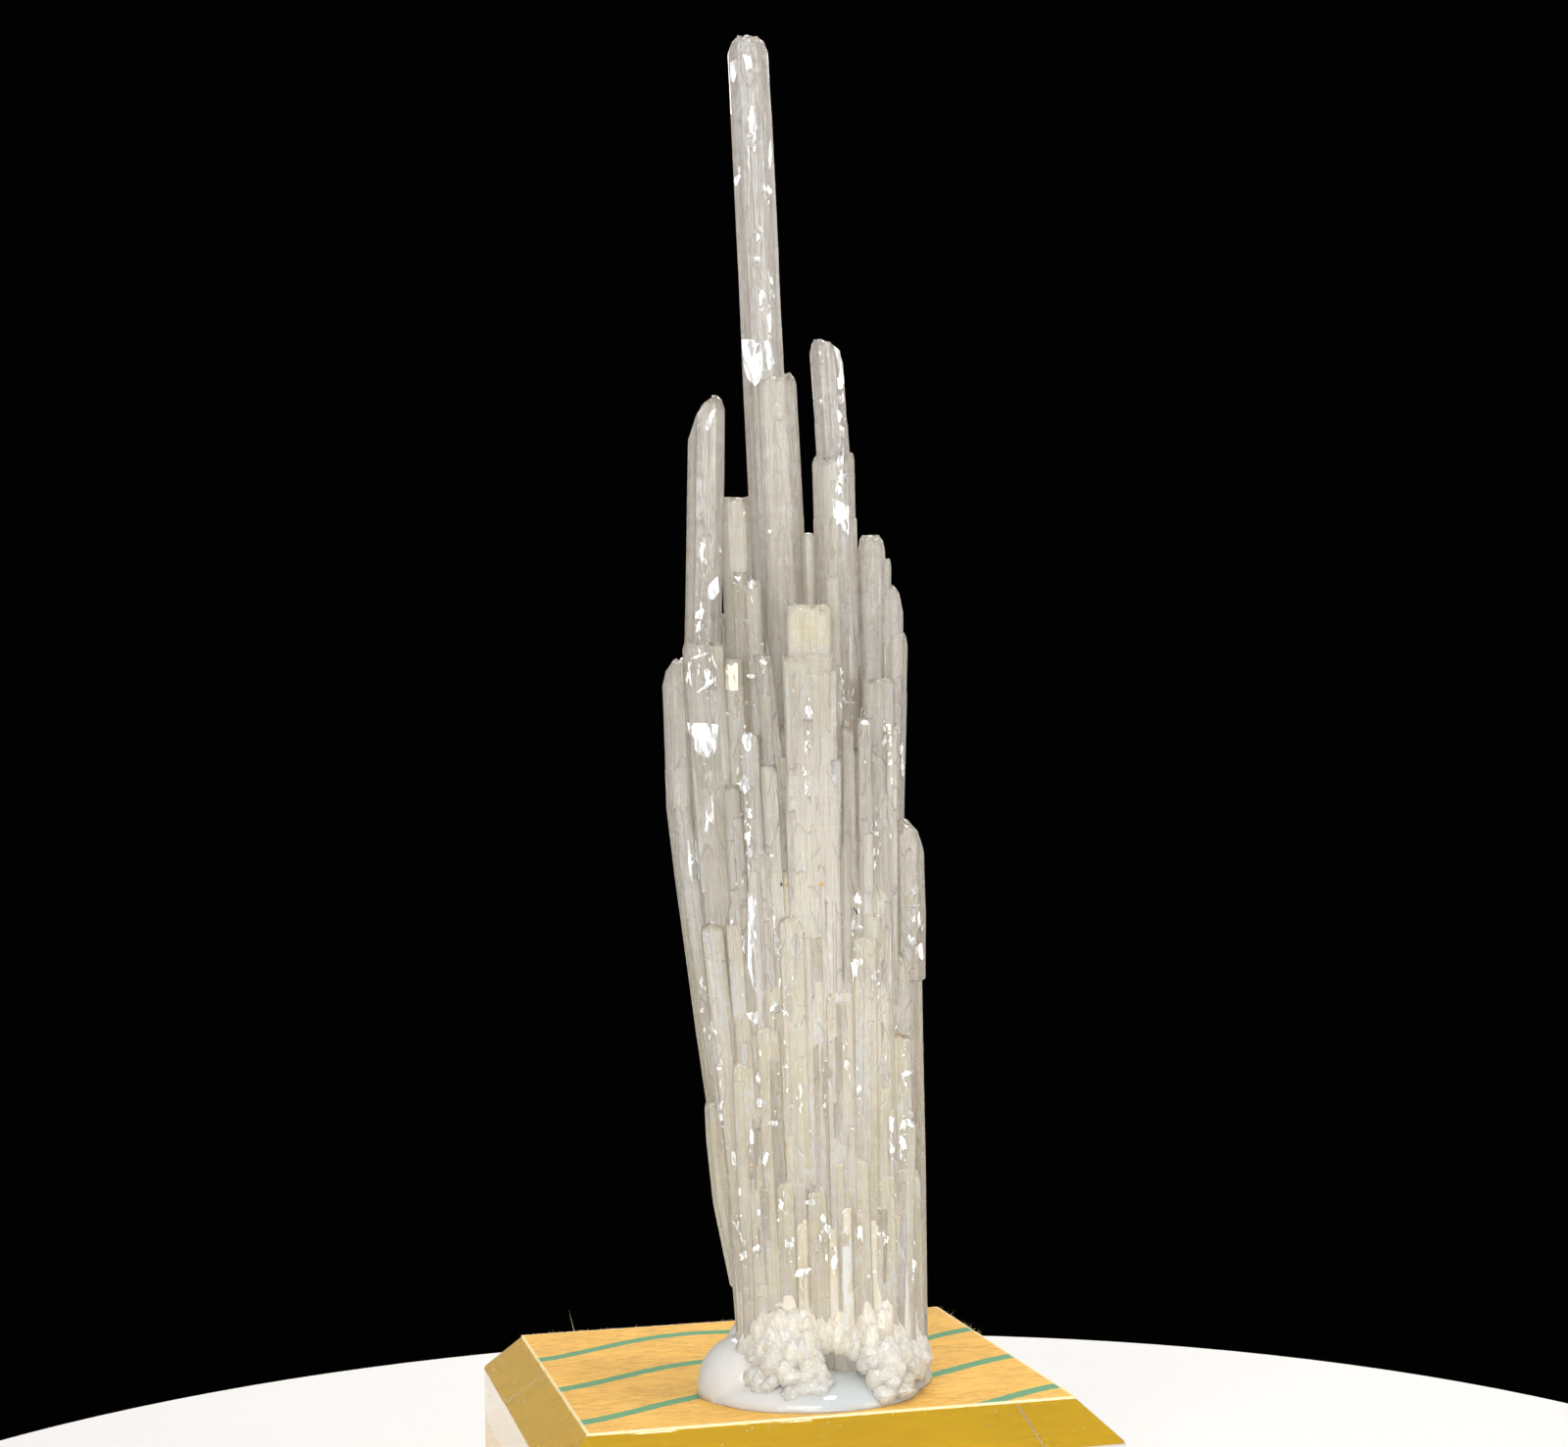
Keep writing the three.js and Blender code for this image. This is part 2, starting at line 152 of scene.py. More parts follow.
UPPER_TIPS = [
    ([(-5.75, 0.9, 82), (-4, 1.4, 2)], (3.4, 3.2), (0.3, 0.6), "milky", 0.5),
    ([(0.8, -1, 78.3), (1.2, -1.4, 3)], (1.2, 1.9), (0.3, 0.5), "milky", 0.6),
    ([(6.65, 0.2, 78.3), (5.6, 0.4, 3)], (2.6, 3.1), (0.7, 0.9), "silky", 0.4),
    ([(8.0, 0.5, 76), (6.6, 0.8, 3)], (1.1, 2.3), (0.2, 0.6), "silky", 0.3),
    ([(8.6, 0.9, 73.6), (7.2, 1.2, 3)], (2.1, 2.8), (0.4, 2.2), "silky", 0.3),
    ([(8.9, 0.2, 69), (5.8, 0.4, 3)], (2.1, 3.1), (0.3, 0.9), "silky", 0.3),
]
OUTER_BLADES = [
    ([(-11.7, 0, 67.2), (-11.4, 0, 52), (-5.6, 0, 3)], (2.9, 3.6), (1.9, 0.4), "silky", 0.3),
    ([(-8.95, -1.2, 26.4), (-8.75, -1.2, 19), (-7, -1.3, 9.5)], (2, 3), (0.4, 0.9), "milky", 0.7),
    ([(9.2, -0.9, 52), (9.3, -0.9, 43), (9.05, -0.9, 37)], (3.2, 4), (0.6, 2.3), "silky", 0.35),
    ([(8.5, 0.4, 44), (8.2, 0.4, 2)], (3.8, 4.8), (0.4, 0.3), "silky", 0.5),
]
FRONT_BLADES = [
    ([(0.6, -4.4, 71.6), (0.9, -4.2, 3)], (4.2, 3.4), (0.3, 0.3), "cream", 1.0),
    ([(0.5, -4.3, 67.3), (0.9, -4.4, 2)], (4.9, 4.1), (0.2, 0.2), "milky", 0.4),
    ([(-5.5, -2.2, 74.8), (-3.8, -2.6, 3)], (1.6, 2.3), (0.5, 0.2), "silky", 0.5),
    ([(-4.4, -3, 74.1), (-2.8, -3.4, 3)], (1.5, 2.3), (0.2, 0.2), "milky", 0.5),
    ([(-3.7, -3.8, 67), (-2.2, -3.8, 51), (-0.6, -3.8, 3)], (1.8, 2.5), (0.1, 0.5), "silky", 0.5),
    ([(-6.3, -3.2, 66.7), (-4.2, -3.6, 3)], (1.7, 2.6), (0.2, 0.1), "milky", 0.6),
    ([(-7.6, -2.6, 68.2), (-5, -3.2, 3)], (0.9, 1.9), (0.2, 0.3), "milky", 0.7),
    ([(-3.3, -4.9, 57.2), (-1.6, -5, 3)], (1.7, 2.2), (0.8, 0.7), "milky", 0.7),
    ([(-5, -4.9, 59.9), (-3.2, -5, 3)], (1.8, 2.4), (0.9, 0.5), "milky", 0.2),
    ([(-6.7, -4.1, 55.4), (-4.6, -4.4, 3)], (1.5, 2.4), (0.1, 0.2), "silky", 0.4),
    ([(-8.8, -3.3, 42.8), (-5.4, -3.8, 2)], (2.4, 2.6), (0.3, 0.1), "milky", 0.6),
    ([(-6.8, -4.4, 43.2), (-4.6, -5, 2)], (1.6, 2.6), (0.1, 0.2), "milky", 0.6),
    ([(-6, -4.8, 31), (-5.3, -5, 2)], (2.6, 2.8), (0.5, 0.3), "milky", 0.7),
    ([(3.9, -4.4, 60.4), (3.8, -4.8, 3)], (1.2, 2.4), (0.2, 0.3), "silky", 0.6),
    ([(2.9, -2.6, 74.4), (3.2, -3, 3)], (1.2, 2.2), (0.1, 0.1), "milky", 0.5),
    ([(5.4, -4.5, 61.1), (4.7, -4.8, 3)], (1.2, 2.4), (0.3, 0.1), "silky", 0.4),
    ([(8, -3.2, 60.6), (6.8, -3.6, 3)], (1.1, 2.2), (0.1, 0.2), "silky", 0.6),
    ([(6.95, -2.2, 64.7), (6, -2.6, 2)], (3, 3.2), (0.1, 0.2), "silky", 0.3),
    ([(5.7, -5.2, 43.7), (5.2, -5.4, 3)], (1.7, 1.9), (0.1, 0.4), "milky", 0.5),
    ([(5, -5.6, 41.6), (4.4, -5.6, 3)], (2.2, 1.7), (0.3, 0.1), "milky", 0.6),
    ([(7.7, -4.6, 32.6), (7.5, -4.4, 2)], (2.6, 2.8), (0.3, 0.1), "milky", 0.6),
    ([(-1.6, -5.6, 43.5), (-1.2, -5.6, 3)], (2.3, 2), (0.4, 0.6), "milky", 0.8),
    ([(2.5, -5.8, 36.5), (2.6, -5.8, 3)], (2.6, 1.9), (0.9, 0.3), "milky", 0.8),
    ([(-3.9, -5.9, 33.5), (-3.2, -5.8, 2)], (2.3, 1.8), (0.3, 0.7), "milky", 0.9),
]
# broad blades inside the bundle, which fill the grooves between the outer ones
CORE_BLADES = [
    ([(0.5, -0.3, 47), (0.9, -0.1, 2)], (13.0, 9.6), (1.6, 2.2), "milky", 0.6),
    ([(0.2, -0.5, 61), (0.5, -0.4, 40)], (9.4, 7.2), (1.4, 0.9), "silky", 0.5),
    ([(-2.5, -3.0, 60.5), (-2.0, -3.6, 38)], (5.2, 3.2), (0.9, 0.4), "silky", 0.4),
    ([(4.7, -3.1, 58.5), (4.6, -3.8, 38)], (5.8, 3.2), (0.4, 1.1), "silky", 0.4),
    ([(-0.3, -4.3, 47.5), (0.1, -4.6, 30)], (7.2, 3.2), (0.8, 0.5), "milky", 0.5),
    ([(4.9, -4.1, 46.5), (4.8, -4.5, 30)], (5.4, 3.2), (0.5, 1.2), "milky", 0.5),
    ([(-5.3, -3.8, 45.5), (-4.3, -4.5, 4)], (4.4, 3.2), (1.1, 0.3), "silky", 0.5),
    ([(-0.7, -4.75, 38.5), (0.1, -4.95, 5.0)], (7.6, 3.4), (0.9, 0.4), "milky", 0.8),
    ([(4.6, -4.5, 38), (4.7, -4.75, 5.0)], (5.6, 3.4), (0.4, 1.2), "milky", 0.7),
    ([(-5.3, -4.3, 35.5), (-4.4, -4.8, 5.0)], (3.6, 3.2), (0.8, 0.2), "milky", 0.7),
    ([(7.6, -2.6, 40), (7.4, -2.8, 3)], (3.2, 3.4), (0.3, 1.0), "silky", 0.5),
    ([(-2.4, 3.9, 50), (-1.8, 4.2, 3)], (6.6, 3.6), (1.1, 0.4), "milky", 0.5),
    ([(3.2, 4.0, 48), (3.2, 4.3, 3)], (6.4, 3.6), (0.5, 1.3), "milky", 0.5),
]
# whiter blades low on the front
LOW_BLADES = [
    ([(-7.0, -3.6, 15), (-6.6, -4.0, 3)], (1.3, 2.6), (0.4, 0.7), "druse", 0.45),
    ([(-6.3, -4.5, 19), (-5.9, -5.1, 3)], (1.5, 2.6), (0.4, 0.7), "milky", 0.45),
    ([(-5.2, -5.1, 23), (-4.8, -5.6, 2.5)], (1.5, 2.4), (0.7, 0.3), "milky", 0.4),
    ([(-3.9, -5.5, 17), (-3.8, -5.8, 2.5)], (1.7, 2.1), (0.5, 0.9), "druse", 0.5),
    ([(-2.6, -5.75, 20), (-2.5, -5.9, 2.5)], (1.8, 2.1), (0.5, 0.9), "milky", 0.6),
    ([(-1.3, -5.8, 16.5), (-1.3, -5.9, 4.6)], (1.8, 2.1), (0.9, 0.4), "druse", 0.75),
    ([(0.1, -5.8, 19), (0.2, -5.9, 5.4)], (1.9, 2.0), (0.3, 0.8), "milky", 0.8),
    ([(1.5, -5.8, 15.5), (1.5, -5.9, 5.4)], (1.7, 2.0), (0.7, 0.3), "druse", 0.95),
    ([(2.8, -5.8, 17.5), (2.8, -5.9, 5.2)], (1.8, 2.0), (0.8, 0.5), "druse", 0.85),
    ([(4.1, -5.7, 21.5), (4.2, -6.0, 3)], (1.8, 2.1), (0.4, 0.9), "milky", 0.65),
    ([(5.3, -5.6, 16), (5.3, -5.9, 3)], (1.6, 2.1), (0.4, 0.5), "druse", 0.6),
    ([(6.4, -5.3, 20), (6.4, -5.7, 2)], (1.6, 2.2), (0.9, 0.3), "milky", 0.5),
    ([(7.7, -4.7, 17), (7.7, -5.2, 2)], (1.7, 2.4), (0.3, 0.8), "druse", 0.45),
    ([(8.9, -2.9, 20), (8.9, -3.4, 2)], (1.5, 2.6), (0.2, 0.9), "milky", 0.4),
]
BACK_BLADES = [
    ([(-9.2, 1.9, 58.5), (-5.4, 2, 3)], (3.2, 3.2), (1.6, 0.4), "silky", 0.3),
    ([(-6.7, 2.8, 71.5), (-4.4, 3.2, 3)], (2.4, 3.1), (0.3, 1.2), "silky", 0.4),
    ([(-4.6, 4.2, 62), (-3, 4.4, 2)], (3.1, 3), (1.3, 0.4), "milky", 0.4),
    ([(-2.9, 3, 86), (-1.6, 3.4, 3)], (2.6, 2.7), (0.4, 1.8), "silky", 0.2),
    ([(-1, 4.2, 76.5), (-0.6, 4.6, 2)], (3.2, 3.1), (0.6, 0.3), "silky", 0.5),
    ([(1, 2.9, 69), (1.2, 3.4, 3)], (2.4, 3), (0.2, 0.9), "silky", 0.3),
    ([(3, 3.1, 80.5), (2.9, 3.4, 3)], (2.7, 2.9), (1.5, 0.3), "silky", 0.2),
    ([(4.8, 3.7, 66), (4.5, 4.2, 2)], (2.9, 3.2), (0.4, 0.8), "milky", 0.5),
    ([(6.6, 2.9, 71.5), (6, 3.2, 3)], (2, 2.9), (0.3, 1.3), "silky", 0.3),
    ([(7.9, 2.6, 55), (7.3, 3, 2)], (2.2, 3.1), (0.2, 1.8), "silky", 0.4),
    ([(-8, 3.6, 41), (-5.6, 3.8, 2)], (2.7, 3.2), (1.4, 0.3), "milky", 0.5),
    ([(-5.7, 5.6, 46), (-4.2, 5.6, 2)], (2.4, 2.6), (0.4, 0.4), "milky", 0.7),
    ([(-3, 6.2, 53), (-2.2, 6.2, 2)], (2.8, 2.7), (0.9, 0.2), "milky", 0.4),
    ([(-0.3, 6.5, 61), (0, 6.6, 2)], (2.7, 2.6), (0.3, 1.5), "cream", 0.7),
    ([(2.1, 6, 48), (2, 6.2, 2)], (2.6, 2.9), (0.2, 0.5), "milky", 0.5),
    ([(4.4, 5.8, 57), (4, 5.8, 2)], (2.2, 2.6), (1.1, 0.3), "milky", 0.3),
    ([(6.4, 5, 42), (6, 5, 2)], (2.6, 2.8), (0.3, 1.2), "milky", 0.6),
    ([(-1.6, 7.7, 36), (-1.2, 7.6, 2)], (3, 1.9), (0.3, 0.8), "milky", 0.8),
    ([(3, 7.4, 29), (2.8, 7.2, 2)], (3.2, 1.9), (0.9, 0.3), "milky", 0.7),
]
BLADES = (SPIRES + UPPER_TIPS + OUTER_BLADES + FRONT_BLADES + CORE_BLADES + LOW_BLADES
          + BACK_BLADES)

# Cleavage faces on the front: tone and outline in millimetres of the cluster as (across, height).
CHIPS = [
    ("white", [(3.05, 81.37), (4.67, 80.56), (4.5, 77.45), (3.68, 76.97), (3.27, 78.47)]),
    ("white", [(-10.71, 60.94), (-7.81, 60.78), (-8.03, 58.69), (-8.6, 57.23), (-8.94, 58.18),
               (-9.4, 57.52), (-10.17, 58.74)]),
    ("white", [(-9.15, 54.3), (-8.26, 54.57), (-8.47, 50.77), (-9.57, 49.46)]),
    ("white", [(-11.2, 50.22), (-9.24, 50.17), (-9.43, 47.51), (-10.08, 46.19), (-11, 46.66)]),
    ("cream", [(-7.04, 66.32), (-5.89, 66.29), (-5.94, 63.71), (-7.01, 63.73)]),
    ("white", [(-8.44, 73.52), (-7.6, 74.49), (-7.47, 72.87), (-8.11, 72.16), (-8.65, 72.36)]),
    ("white", [(-4.93, 96.23), (-4.17, 96.3), (-3.09, 95.92), (-3.06, 93.29), (-3.55, 91.67),
               (-4.34, 92.41), (-4.77, 93.51)]),
    ("white", [(-2.91, 96), (-2.36, 96.17), (-1.88, 93.8), (-2.52, 93.27)]),
    ("white", [(-4.19, 122.68), (-3.47, 122.48), (-3.32, 121.47), (-3.87, 121.03)]),
    ("white", [(-5.4, 122.07), (-4.74, 122.42), (-4.67, 121.5), (-5.07, 120.05), (-5.35, 120.43)]),
    ("white", [(3.59, 95.5), (4.1, 95.2), (4.5, 91.85), (4.12, 91.32), (3.9, 93.68)]),
    ("white", [(-8.49, 88.2), (-7.9, 89.6), (-7.4, 89.8), (-7.86, 88.3), (-8.32, 87.65)]),
    ("white", [(-5.44, 45.46), (-4.73, 45.97), (-4.58, 41.13), (-4.82, 38.06), (-5.6, 38.51)]),
    ("white", [(-5.83, 34.57), (-4.37, 34.82), (-4.17, 33.74), (-5.28, 33.54)]),
    ("white", [(-5.52, 38.51), (-4.71, 38.93), (-4.23, 36.99), (-5.04, 36.3)]),
    ("white", [(-7.48, 22.04), (-6.6, 22.02), (-6.72, 20.71), (-7.42, 20.81)]),
    ("white", [(6.7, 25.21), (7.27, 24.93), (7.1, 23.53), (6.67, 23.89)]),
    ("white", [(9.68, 39.86), (10.3, 40.47), (10.44, 38.77), (10.18, 38.68)]),
    ("speck", [(3.95, 43.9), (4.15, 43.8), (4.6, 43.1), (4.35, 43.2)]),
    ("speck", [(-2.5, 46.2), (-2.35, 46.25), (-2.3, 45.95), (-2.45, 45.9)]),
    ("stain", [(-1.95, 46.2), (-1.5, 46.15), (-1.55, 45.85), (-1.95, 45.9)]),
    ("stain", [(0.95, 46.2), (1.4, 46.15), (1.35, 45.85), (1.0, 45.9)]),
]
# Small flecks on the front, white as painted glints: (across, height, half width, half height, lean
# in degrees).
FLECKS = np.array([
    (-9.4, 67.0, 1.08, 0.16, -17), (-8.0, 66.25, 0.14, 1.1, -18), (-8.7, 64.4, 1.3, 0.2, -39),
    (-10.3, 65.35, 0.12, 1.3, -5),
    (-3.52, 116.56, 0.5, 1.45, 0), (-4.95, 111.22, 0.27, 0.54, 20),
    (-2.26, 110.16, 0.36, 0.54, -30),
    (-3.23, 105.72, 0.54, 0.27, 15), (-3.36, 103.64, 0.54, 0.27, 10), (-2.01, 101.7, 0.27, 0.45, 0),
    (-2.95, 100.18, 0.36, 0.9, 5), (-2.32, 97.8, 0.27, 1.08, 0), (-1.87, 113.51, 0.18, 1.63, 0),
    (-3.87, 113.1, 0.2, 1.45, 0), (-3.29, 114.91, 0.18, 0.72, 0), (4.04, 91.87, 0.36, 0.72, 0),
    (4.1, 90.42, 0.3, 0.54, 10), (3.88, 88.97, 0.3, 0.72, -10), (4.12, 87.52, 0.3, 0.72, 0),
    (3.9, 86.14, 0.27, 0.45, 0), (3.87, 84.78, 0.36, 0.54, 0), (4.01, 83.15, 0.45, 0.63, 20),
    (3.71, 82.07, 0.36, 0.54, 0), (-9, 76.87, 0.27, 0.81, 15), (-8.84, 75.78, 0.45, 0.36, 30),
    (-9.3, 70.92, 0.45, 0.72, 30), (-9.51, 69.67, 0.27, 0.45, 0), (-8.69, 65.13, 0.36, 0.89, 0),
    (-4.61, 65.03, 0.53, 0.22, 0), (-5.72, 74.1, 0.4, 0.4, 10), (-4.47, 73.4, 0.4, 0.5, 0),
    (-3.63, 66.4, 0.27, 0.44, 0), (-3.47, 65.9, 0.3, 0.5, 10), (-5.14, 59.12, 0.5, 0.88, 0),
    (-5.49, 55.24, 0.5, 0.88, 0), (-5.94, 55.07, 0.4, 0.53, 0), (-5.2, 52.58, 0.35, 0.53, 0),
    (-5.33, 50.55, 0.44, 0.44, 0), (-5.28, 49.05, 0.35, 0.44, 0), (-5.49, 47.73, 0.35, 0.44, 0),
    (-5.06, 43.33, 0.44, 0.79, 0), (-5.81, 41.15, 0.35, 0.7, 0), (-5.22, 35.87, 0.35, 0.62, 10),
    (-3.36, 44.16, 0.26, 0.53, 0), (-2.99, 41.25, 0.35, 0.53, 20), (-2.75, 40.02, 0.44, 0.44, 0),
    (-3.22, 42.66, 0.26, 0.71, 0), (0.45, 61.69, 0.35, 0.53, 0), (0.16, 58.81, 0.22, 0.22, 0),
    (-0.03, 55.99, 0.26, 0.35, 0), (0.06, 54.58, 0.35, 0.62, 0), (3.49, 64.23, 0.27, 0.62, 20),
    (3.57, 62.62, 0.36, 0.45, 0), (3.8, 60.16, 0.5, 0.35, 0), (5.44, 60.5, 0.44, 0.27, 0),
    (4.26, 62.49, 0.8, 0.13, 5), (7.68, 60.1, 0.27, 0.45, 0), (7.38, 58.77, 0.44, 0.27, 0),
    (7.79, 56.89, 0.27, 0.36, 0), (8.91, 58.07, 0.23, 0.72, 0), (8.97, 56.54, 0.22, 0.45, 0),
    (6.17, 50.45, 0.44, 0.27, 0), (5.95, 48.78, 0.44, 0.53, 0), (4.41, 44.6, 0.44, 0.5, 0),
    (4.26, 42, 0.62, 0.26, 0), (3.93, 42.3, 0.26, 0.6, 0), (9.58, 43.72, 0.72, 0.18, 0),
    (9.55, 42.56, 0.27, 0.45, 0), (9.41, 40.6, 0.45, 0.54, 0), (10.09, 42.36, 0.18, 0.89, 0),
    (4, 38.27, 0.35, 1.23, 0), (4.45, 38.96, 0.35, 0.44, 30), (5.65, 37.53, 0.26, 0.7, -35),
    (5.99, 36.99, 0.26, 0.26, 0), (-8.97, 32.62, 0.44, 0.53, 40), (-9.91, 37.41, 0.18, 0.27, 0),
    (-9.98, 34.55, 0.18, 0.27, 0), (-3.49, 34.95, 0.26, 0.62, 35), (-2.35, 34.57, 0.35, 0.44, -30),
    (-1.48, 34.25, 0.35, 0.18, 0), (-2.33, 29.77, 0.26, 0.44, 0), (-1.11, 27.55, 0.18, 0.88, 0),
    (1.04, 26.19, 0.26, 0.44, 10), (4.17, 27.67, 0.26, 0.53, 0), (6.71, 28.99, 0.26, 0.35, 0),
    (8.44, 28.81, 0.8, 0.22, -25), (8.05, 24.26, 0.27, 0.71, 30), (8.68, 24.31, 0.27, 0.71, -35),
    (7.92, 22.59, 0.35, 0.71, -20), (6.99, 22.07, 0.27, 0.53, 0), (-5.6, 23.42, 0.26, 0.79, 0),
    (-4.45, 21.57, 0.35, 0.61, 0), (-4.86, 28.84, 0.26, 0.44, 0), (-4.82, 26.56, 0.26, 0.44, 0),
    (-8.64, 25.96, 0.3, 0.4, 0), (-8.39, 25.15, 0.27, 0.54, 0), (-8.39, 29.51, 0.27, 0.22, 0),
    (1.15, 30.3, 0.22, 0.35, 0), (3.08, 29.82, 0.26, 0.53, 0), (-3.55, 24.7, 0.53, 0.35, 0),
    (-6.9, 15.2, 0.3, 0.7, 0), (-6.6, 12.9, 0.4, 0.5, 10), (-4.9, 16.6, 0.4, 0.8, 0),
    (-3.1, 17.4, 0.3, 0.5, 0), (-5.4, 13.6, 0.6, 0.4, 0), (-2.4, 13.8, 0.5, 0.4, 10),
    (-0.4, 17.6, 0.5, 0.35, 0), (0.6, 16.2, 0.3, 0.5, 0), (1.1, 15.2, 0.4, 0.5, 0),
    (3.9, 14.9, 0.3, 0.6, 0), (5.9, 14.3, 0.5, 0.9, 0), (7.4, 13.1, 0.35, 0.8, 0),
    (8.6, 11.6, 0.4, 0.6, 20), (1.6, 12.2, 0.4, 0.7, 15), (-1.3, 11.4, 0.8, 0.4, -20),
])

# How far the strips' mean step puts the skin under a blade's outline, in millimetres.
FLECK_SINK = 0.07
# A plate's rings: share of its outline, rise in lifts, and roughness in lifts. Then the rise
# of its two middles, and how far it follows the skin away from its middle, in millimetres.
PLATE_RINGS = ((0.62, 0.9, 0.9), (1.0, 0.1, 0.0), (0.85, -4.0, 0.0))
PLATE_MIDDLES = (1.2, -5)
PLATE_FOLLOW = 0.15
FLECK_CORNERS = 12
FLECK_RAGGED = (0.55, 1.15)
# Crumbs round each fleck: how many, their spread and least and most half sizes in millimetres,
# and lean in degrees.
CRUMBS = 4
CRUMB_SPREAD = (0.16, 1.1)
CRUMB_HALVES = ((0.05, 0.08), (0.15, 0.5))
CRUMB_LEAN = 12
# Scattered flecks: least and most place across and up for each side, then half sizes and lean.
SCATTERED = ((FRONT, (-11, 8), (10, 96)), (BACK, (-11, 6), (10, 100)))
SCATTER_SHAPES = ((0.06, 0.08, -35), (0.2, 0.3, 35))
SCATTER_CREAM = 0.2

# Laths in millimetres: least and most place across, top, length, and (width, thickness), the
# lowest foot, the lean inward for each millimetre of length, how far the top stands out and
# the foot lies in, how deep the back lies, and how far the skin may slope under one.
LATH_ACROSS = (-9, 9.4)
LATH_TOP = (13, 68)
LATH_LENGTH = (5, 24)
LATH_SIZES = ((0.45, 0.9), (1.15, 1.5))
LATH_FOOT = 3.2
LATH_LEAN = 0.0068
LATH_RISE = 0.09
LATH_SINK = 0.3
LATH_COVER = 0.1
LATH_SLOPE = 1.4

# Ridges of the broken foot, from the top of each to its low end, in millimetres. First come the
# splinters of the part's source, all round, then two runs of ridges before them on the front.
# Each grows toward the next one, but for the two that end the runs.
FOOT_RIDGES = [
    ((-5.6, -4.6, 13), (-6.6, -6.2, 2)),
    ((-4.2, -5.6, 10.5), (-5, -7.6, 1.8)),
    ((-2.7, -5.9, 8.5), (-3.1, -8.2, 1.5)),
    ((-1.7, -5.8, 12), (-1.5, -7.9, 2.2)),
    ((0.1, -5.9, 9.5), (0.3, -7.1, 4.4)),
    ((1.7, -6, 8), (1.9, -7.3, 5)),
    ((3.3, -5.9, 9), (3.6, -7.2, 3.6)),
    ((5.2, -5.6, 9.5), (5.1, -8.6, 2.4)),
    ((6.6, -5.2, 6.5), (6.1, -9.4, 1.4)),
    ((7.8, -4.4, 12), (8.2, -5.8, 2.4)),
    ((8.9, -2.4, 9), (9.2, -3.4, 2)),
    ((8.8, 2.6, 8), (9.1, 3.6, 1.8)),
    ((6.4, 5.4, 10), (6.9, 7, 2)),
    ((3.4, 6.8, 7.5), (3.6, 8.6, 1.8)),
    ((1.5, 7, 9), (1.6, 8.4, 3.8)),
    ((-0.4, 7.2, 11), (-0.6, 8.9, 2)),
    ((-3.8, 6.2, 8), (-4.4, 7.8, 1.8)),
    ((-6, 3.6, 9), (-6.9, 4.8, 2)),
    ((-6.4, -0.6, 7), (-7.4, -0.9, 2.6)),
    ((-6.2, -3.9, 12.0), (-6.5, -6.6, 2.4)),
    ((-5.3, -5.0, 11.0), (-5.2, -8.9, 1.5)),
    ((-4.0, -5.8, 10.5), (-4.2, -10.0, 1.2)),
    ((-2.6, -6.0, 9.5), (-2.6, -10.4, 1.1)),
    ((-1.4, -6.2, 7.5), (-0.9, -10.4, 1.2)),
    ((-1.2, -6.4, 5.0), (0.2, -10.2, 1.4)),
    ((4.6, -5.9, 9.5), (5.2, -9.6, 0.8)),
    ((6.2, -5.5, 9.5), (6.5, -10.3, 0.5)),
    ((7.4, -5.1, 10.5), (7.3, -7.8, 1.0)),
    ((8.7, -3.7, 10.5), (8.9, -5.2, 2.2)),
]
RUN_ENDS = [-5, -1]
# Middle of the foot across and in depth, and half width and lowest height of its cream part.
FOOT_MIDDLE = np.array([0.6, -0.5])
CREAM_HALF = 2.6
CREAM_FROM = 2.4
# Lumps: rows and columns, least share that a point keeps, least and most half sizes, and how
# they flatten and draw in to the foot's middle by height.
LUMP_GRID = (5, 9)
LUMP_ROUGH = 0.76
LUMP_HALVES = ((0.7, 0.6, 0.9), (1.5, 1.1, 2.6))
LUMP_FLATTEN = ([1.5, 6], [0.55, 1.0])
LUMP_DRAW = ([3, 8], [1.0, 0.86])

# Glue lobes in millimetres of the cluster: middle across and depth, half sizes and height. The
# lump's own middle follows them.
GLUE_LOBES = np.array([
    (-0.6, -3.4, 9.6, 8.6, 2.7),
    (-6.4, -2.9, 4.8, 5.4, 5.2),
    (-5.2, 4.0, 4.0, 4.4, 5.9),
    (3.9, 1.6, 6.6, 7.9, 3.6),
])
GLUE_MIDDLE = np.array([-0.8, -1.0])

# Plain stripes printed on the paper, in metres, and how far they lean as a slope.
STRIPE_STEP = 0.0135
STRIPE_WAVE = 0.031
STRIPE_SWING = 0.0022
STRIPE_LEAN = -0.22

# Corners of a level square, anticlockwise.
SQUARE = np.array([(-1, -1), (1, -1), (1, 1), (-1, 1)])

# Paper in metres: cells along its edge, how far its rim and face wander, and its fibres' radius.
PAPER_CELLS = 120
RIM_WANDER = 0.00012
FACE_WANDER = 0.00002
FIBRE_RADIUS = 0.000016
# Long fibres of the back edge in millimetres: across, depth and length.
LONG_FIBRES = np.array([(-16.5, 21.9, 0.9), (1.6, 21.9, 0.7)])

# The camera that the photo's block was solved with: pixels, millimetres and degrees.
PHOTO_WIDTH = 1600
FOCAL_PIXELS = 2729.26
CAMERA_PLACE = (-56.00, -250.05, 73.51)
CAMERA_YAW, CAMERA_PITCH, CAMERA_ROLL = -13.0196, 1.4910, -1.3333

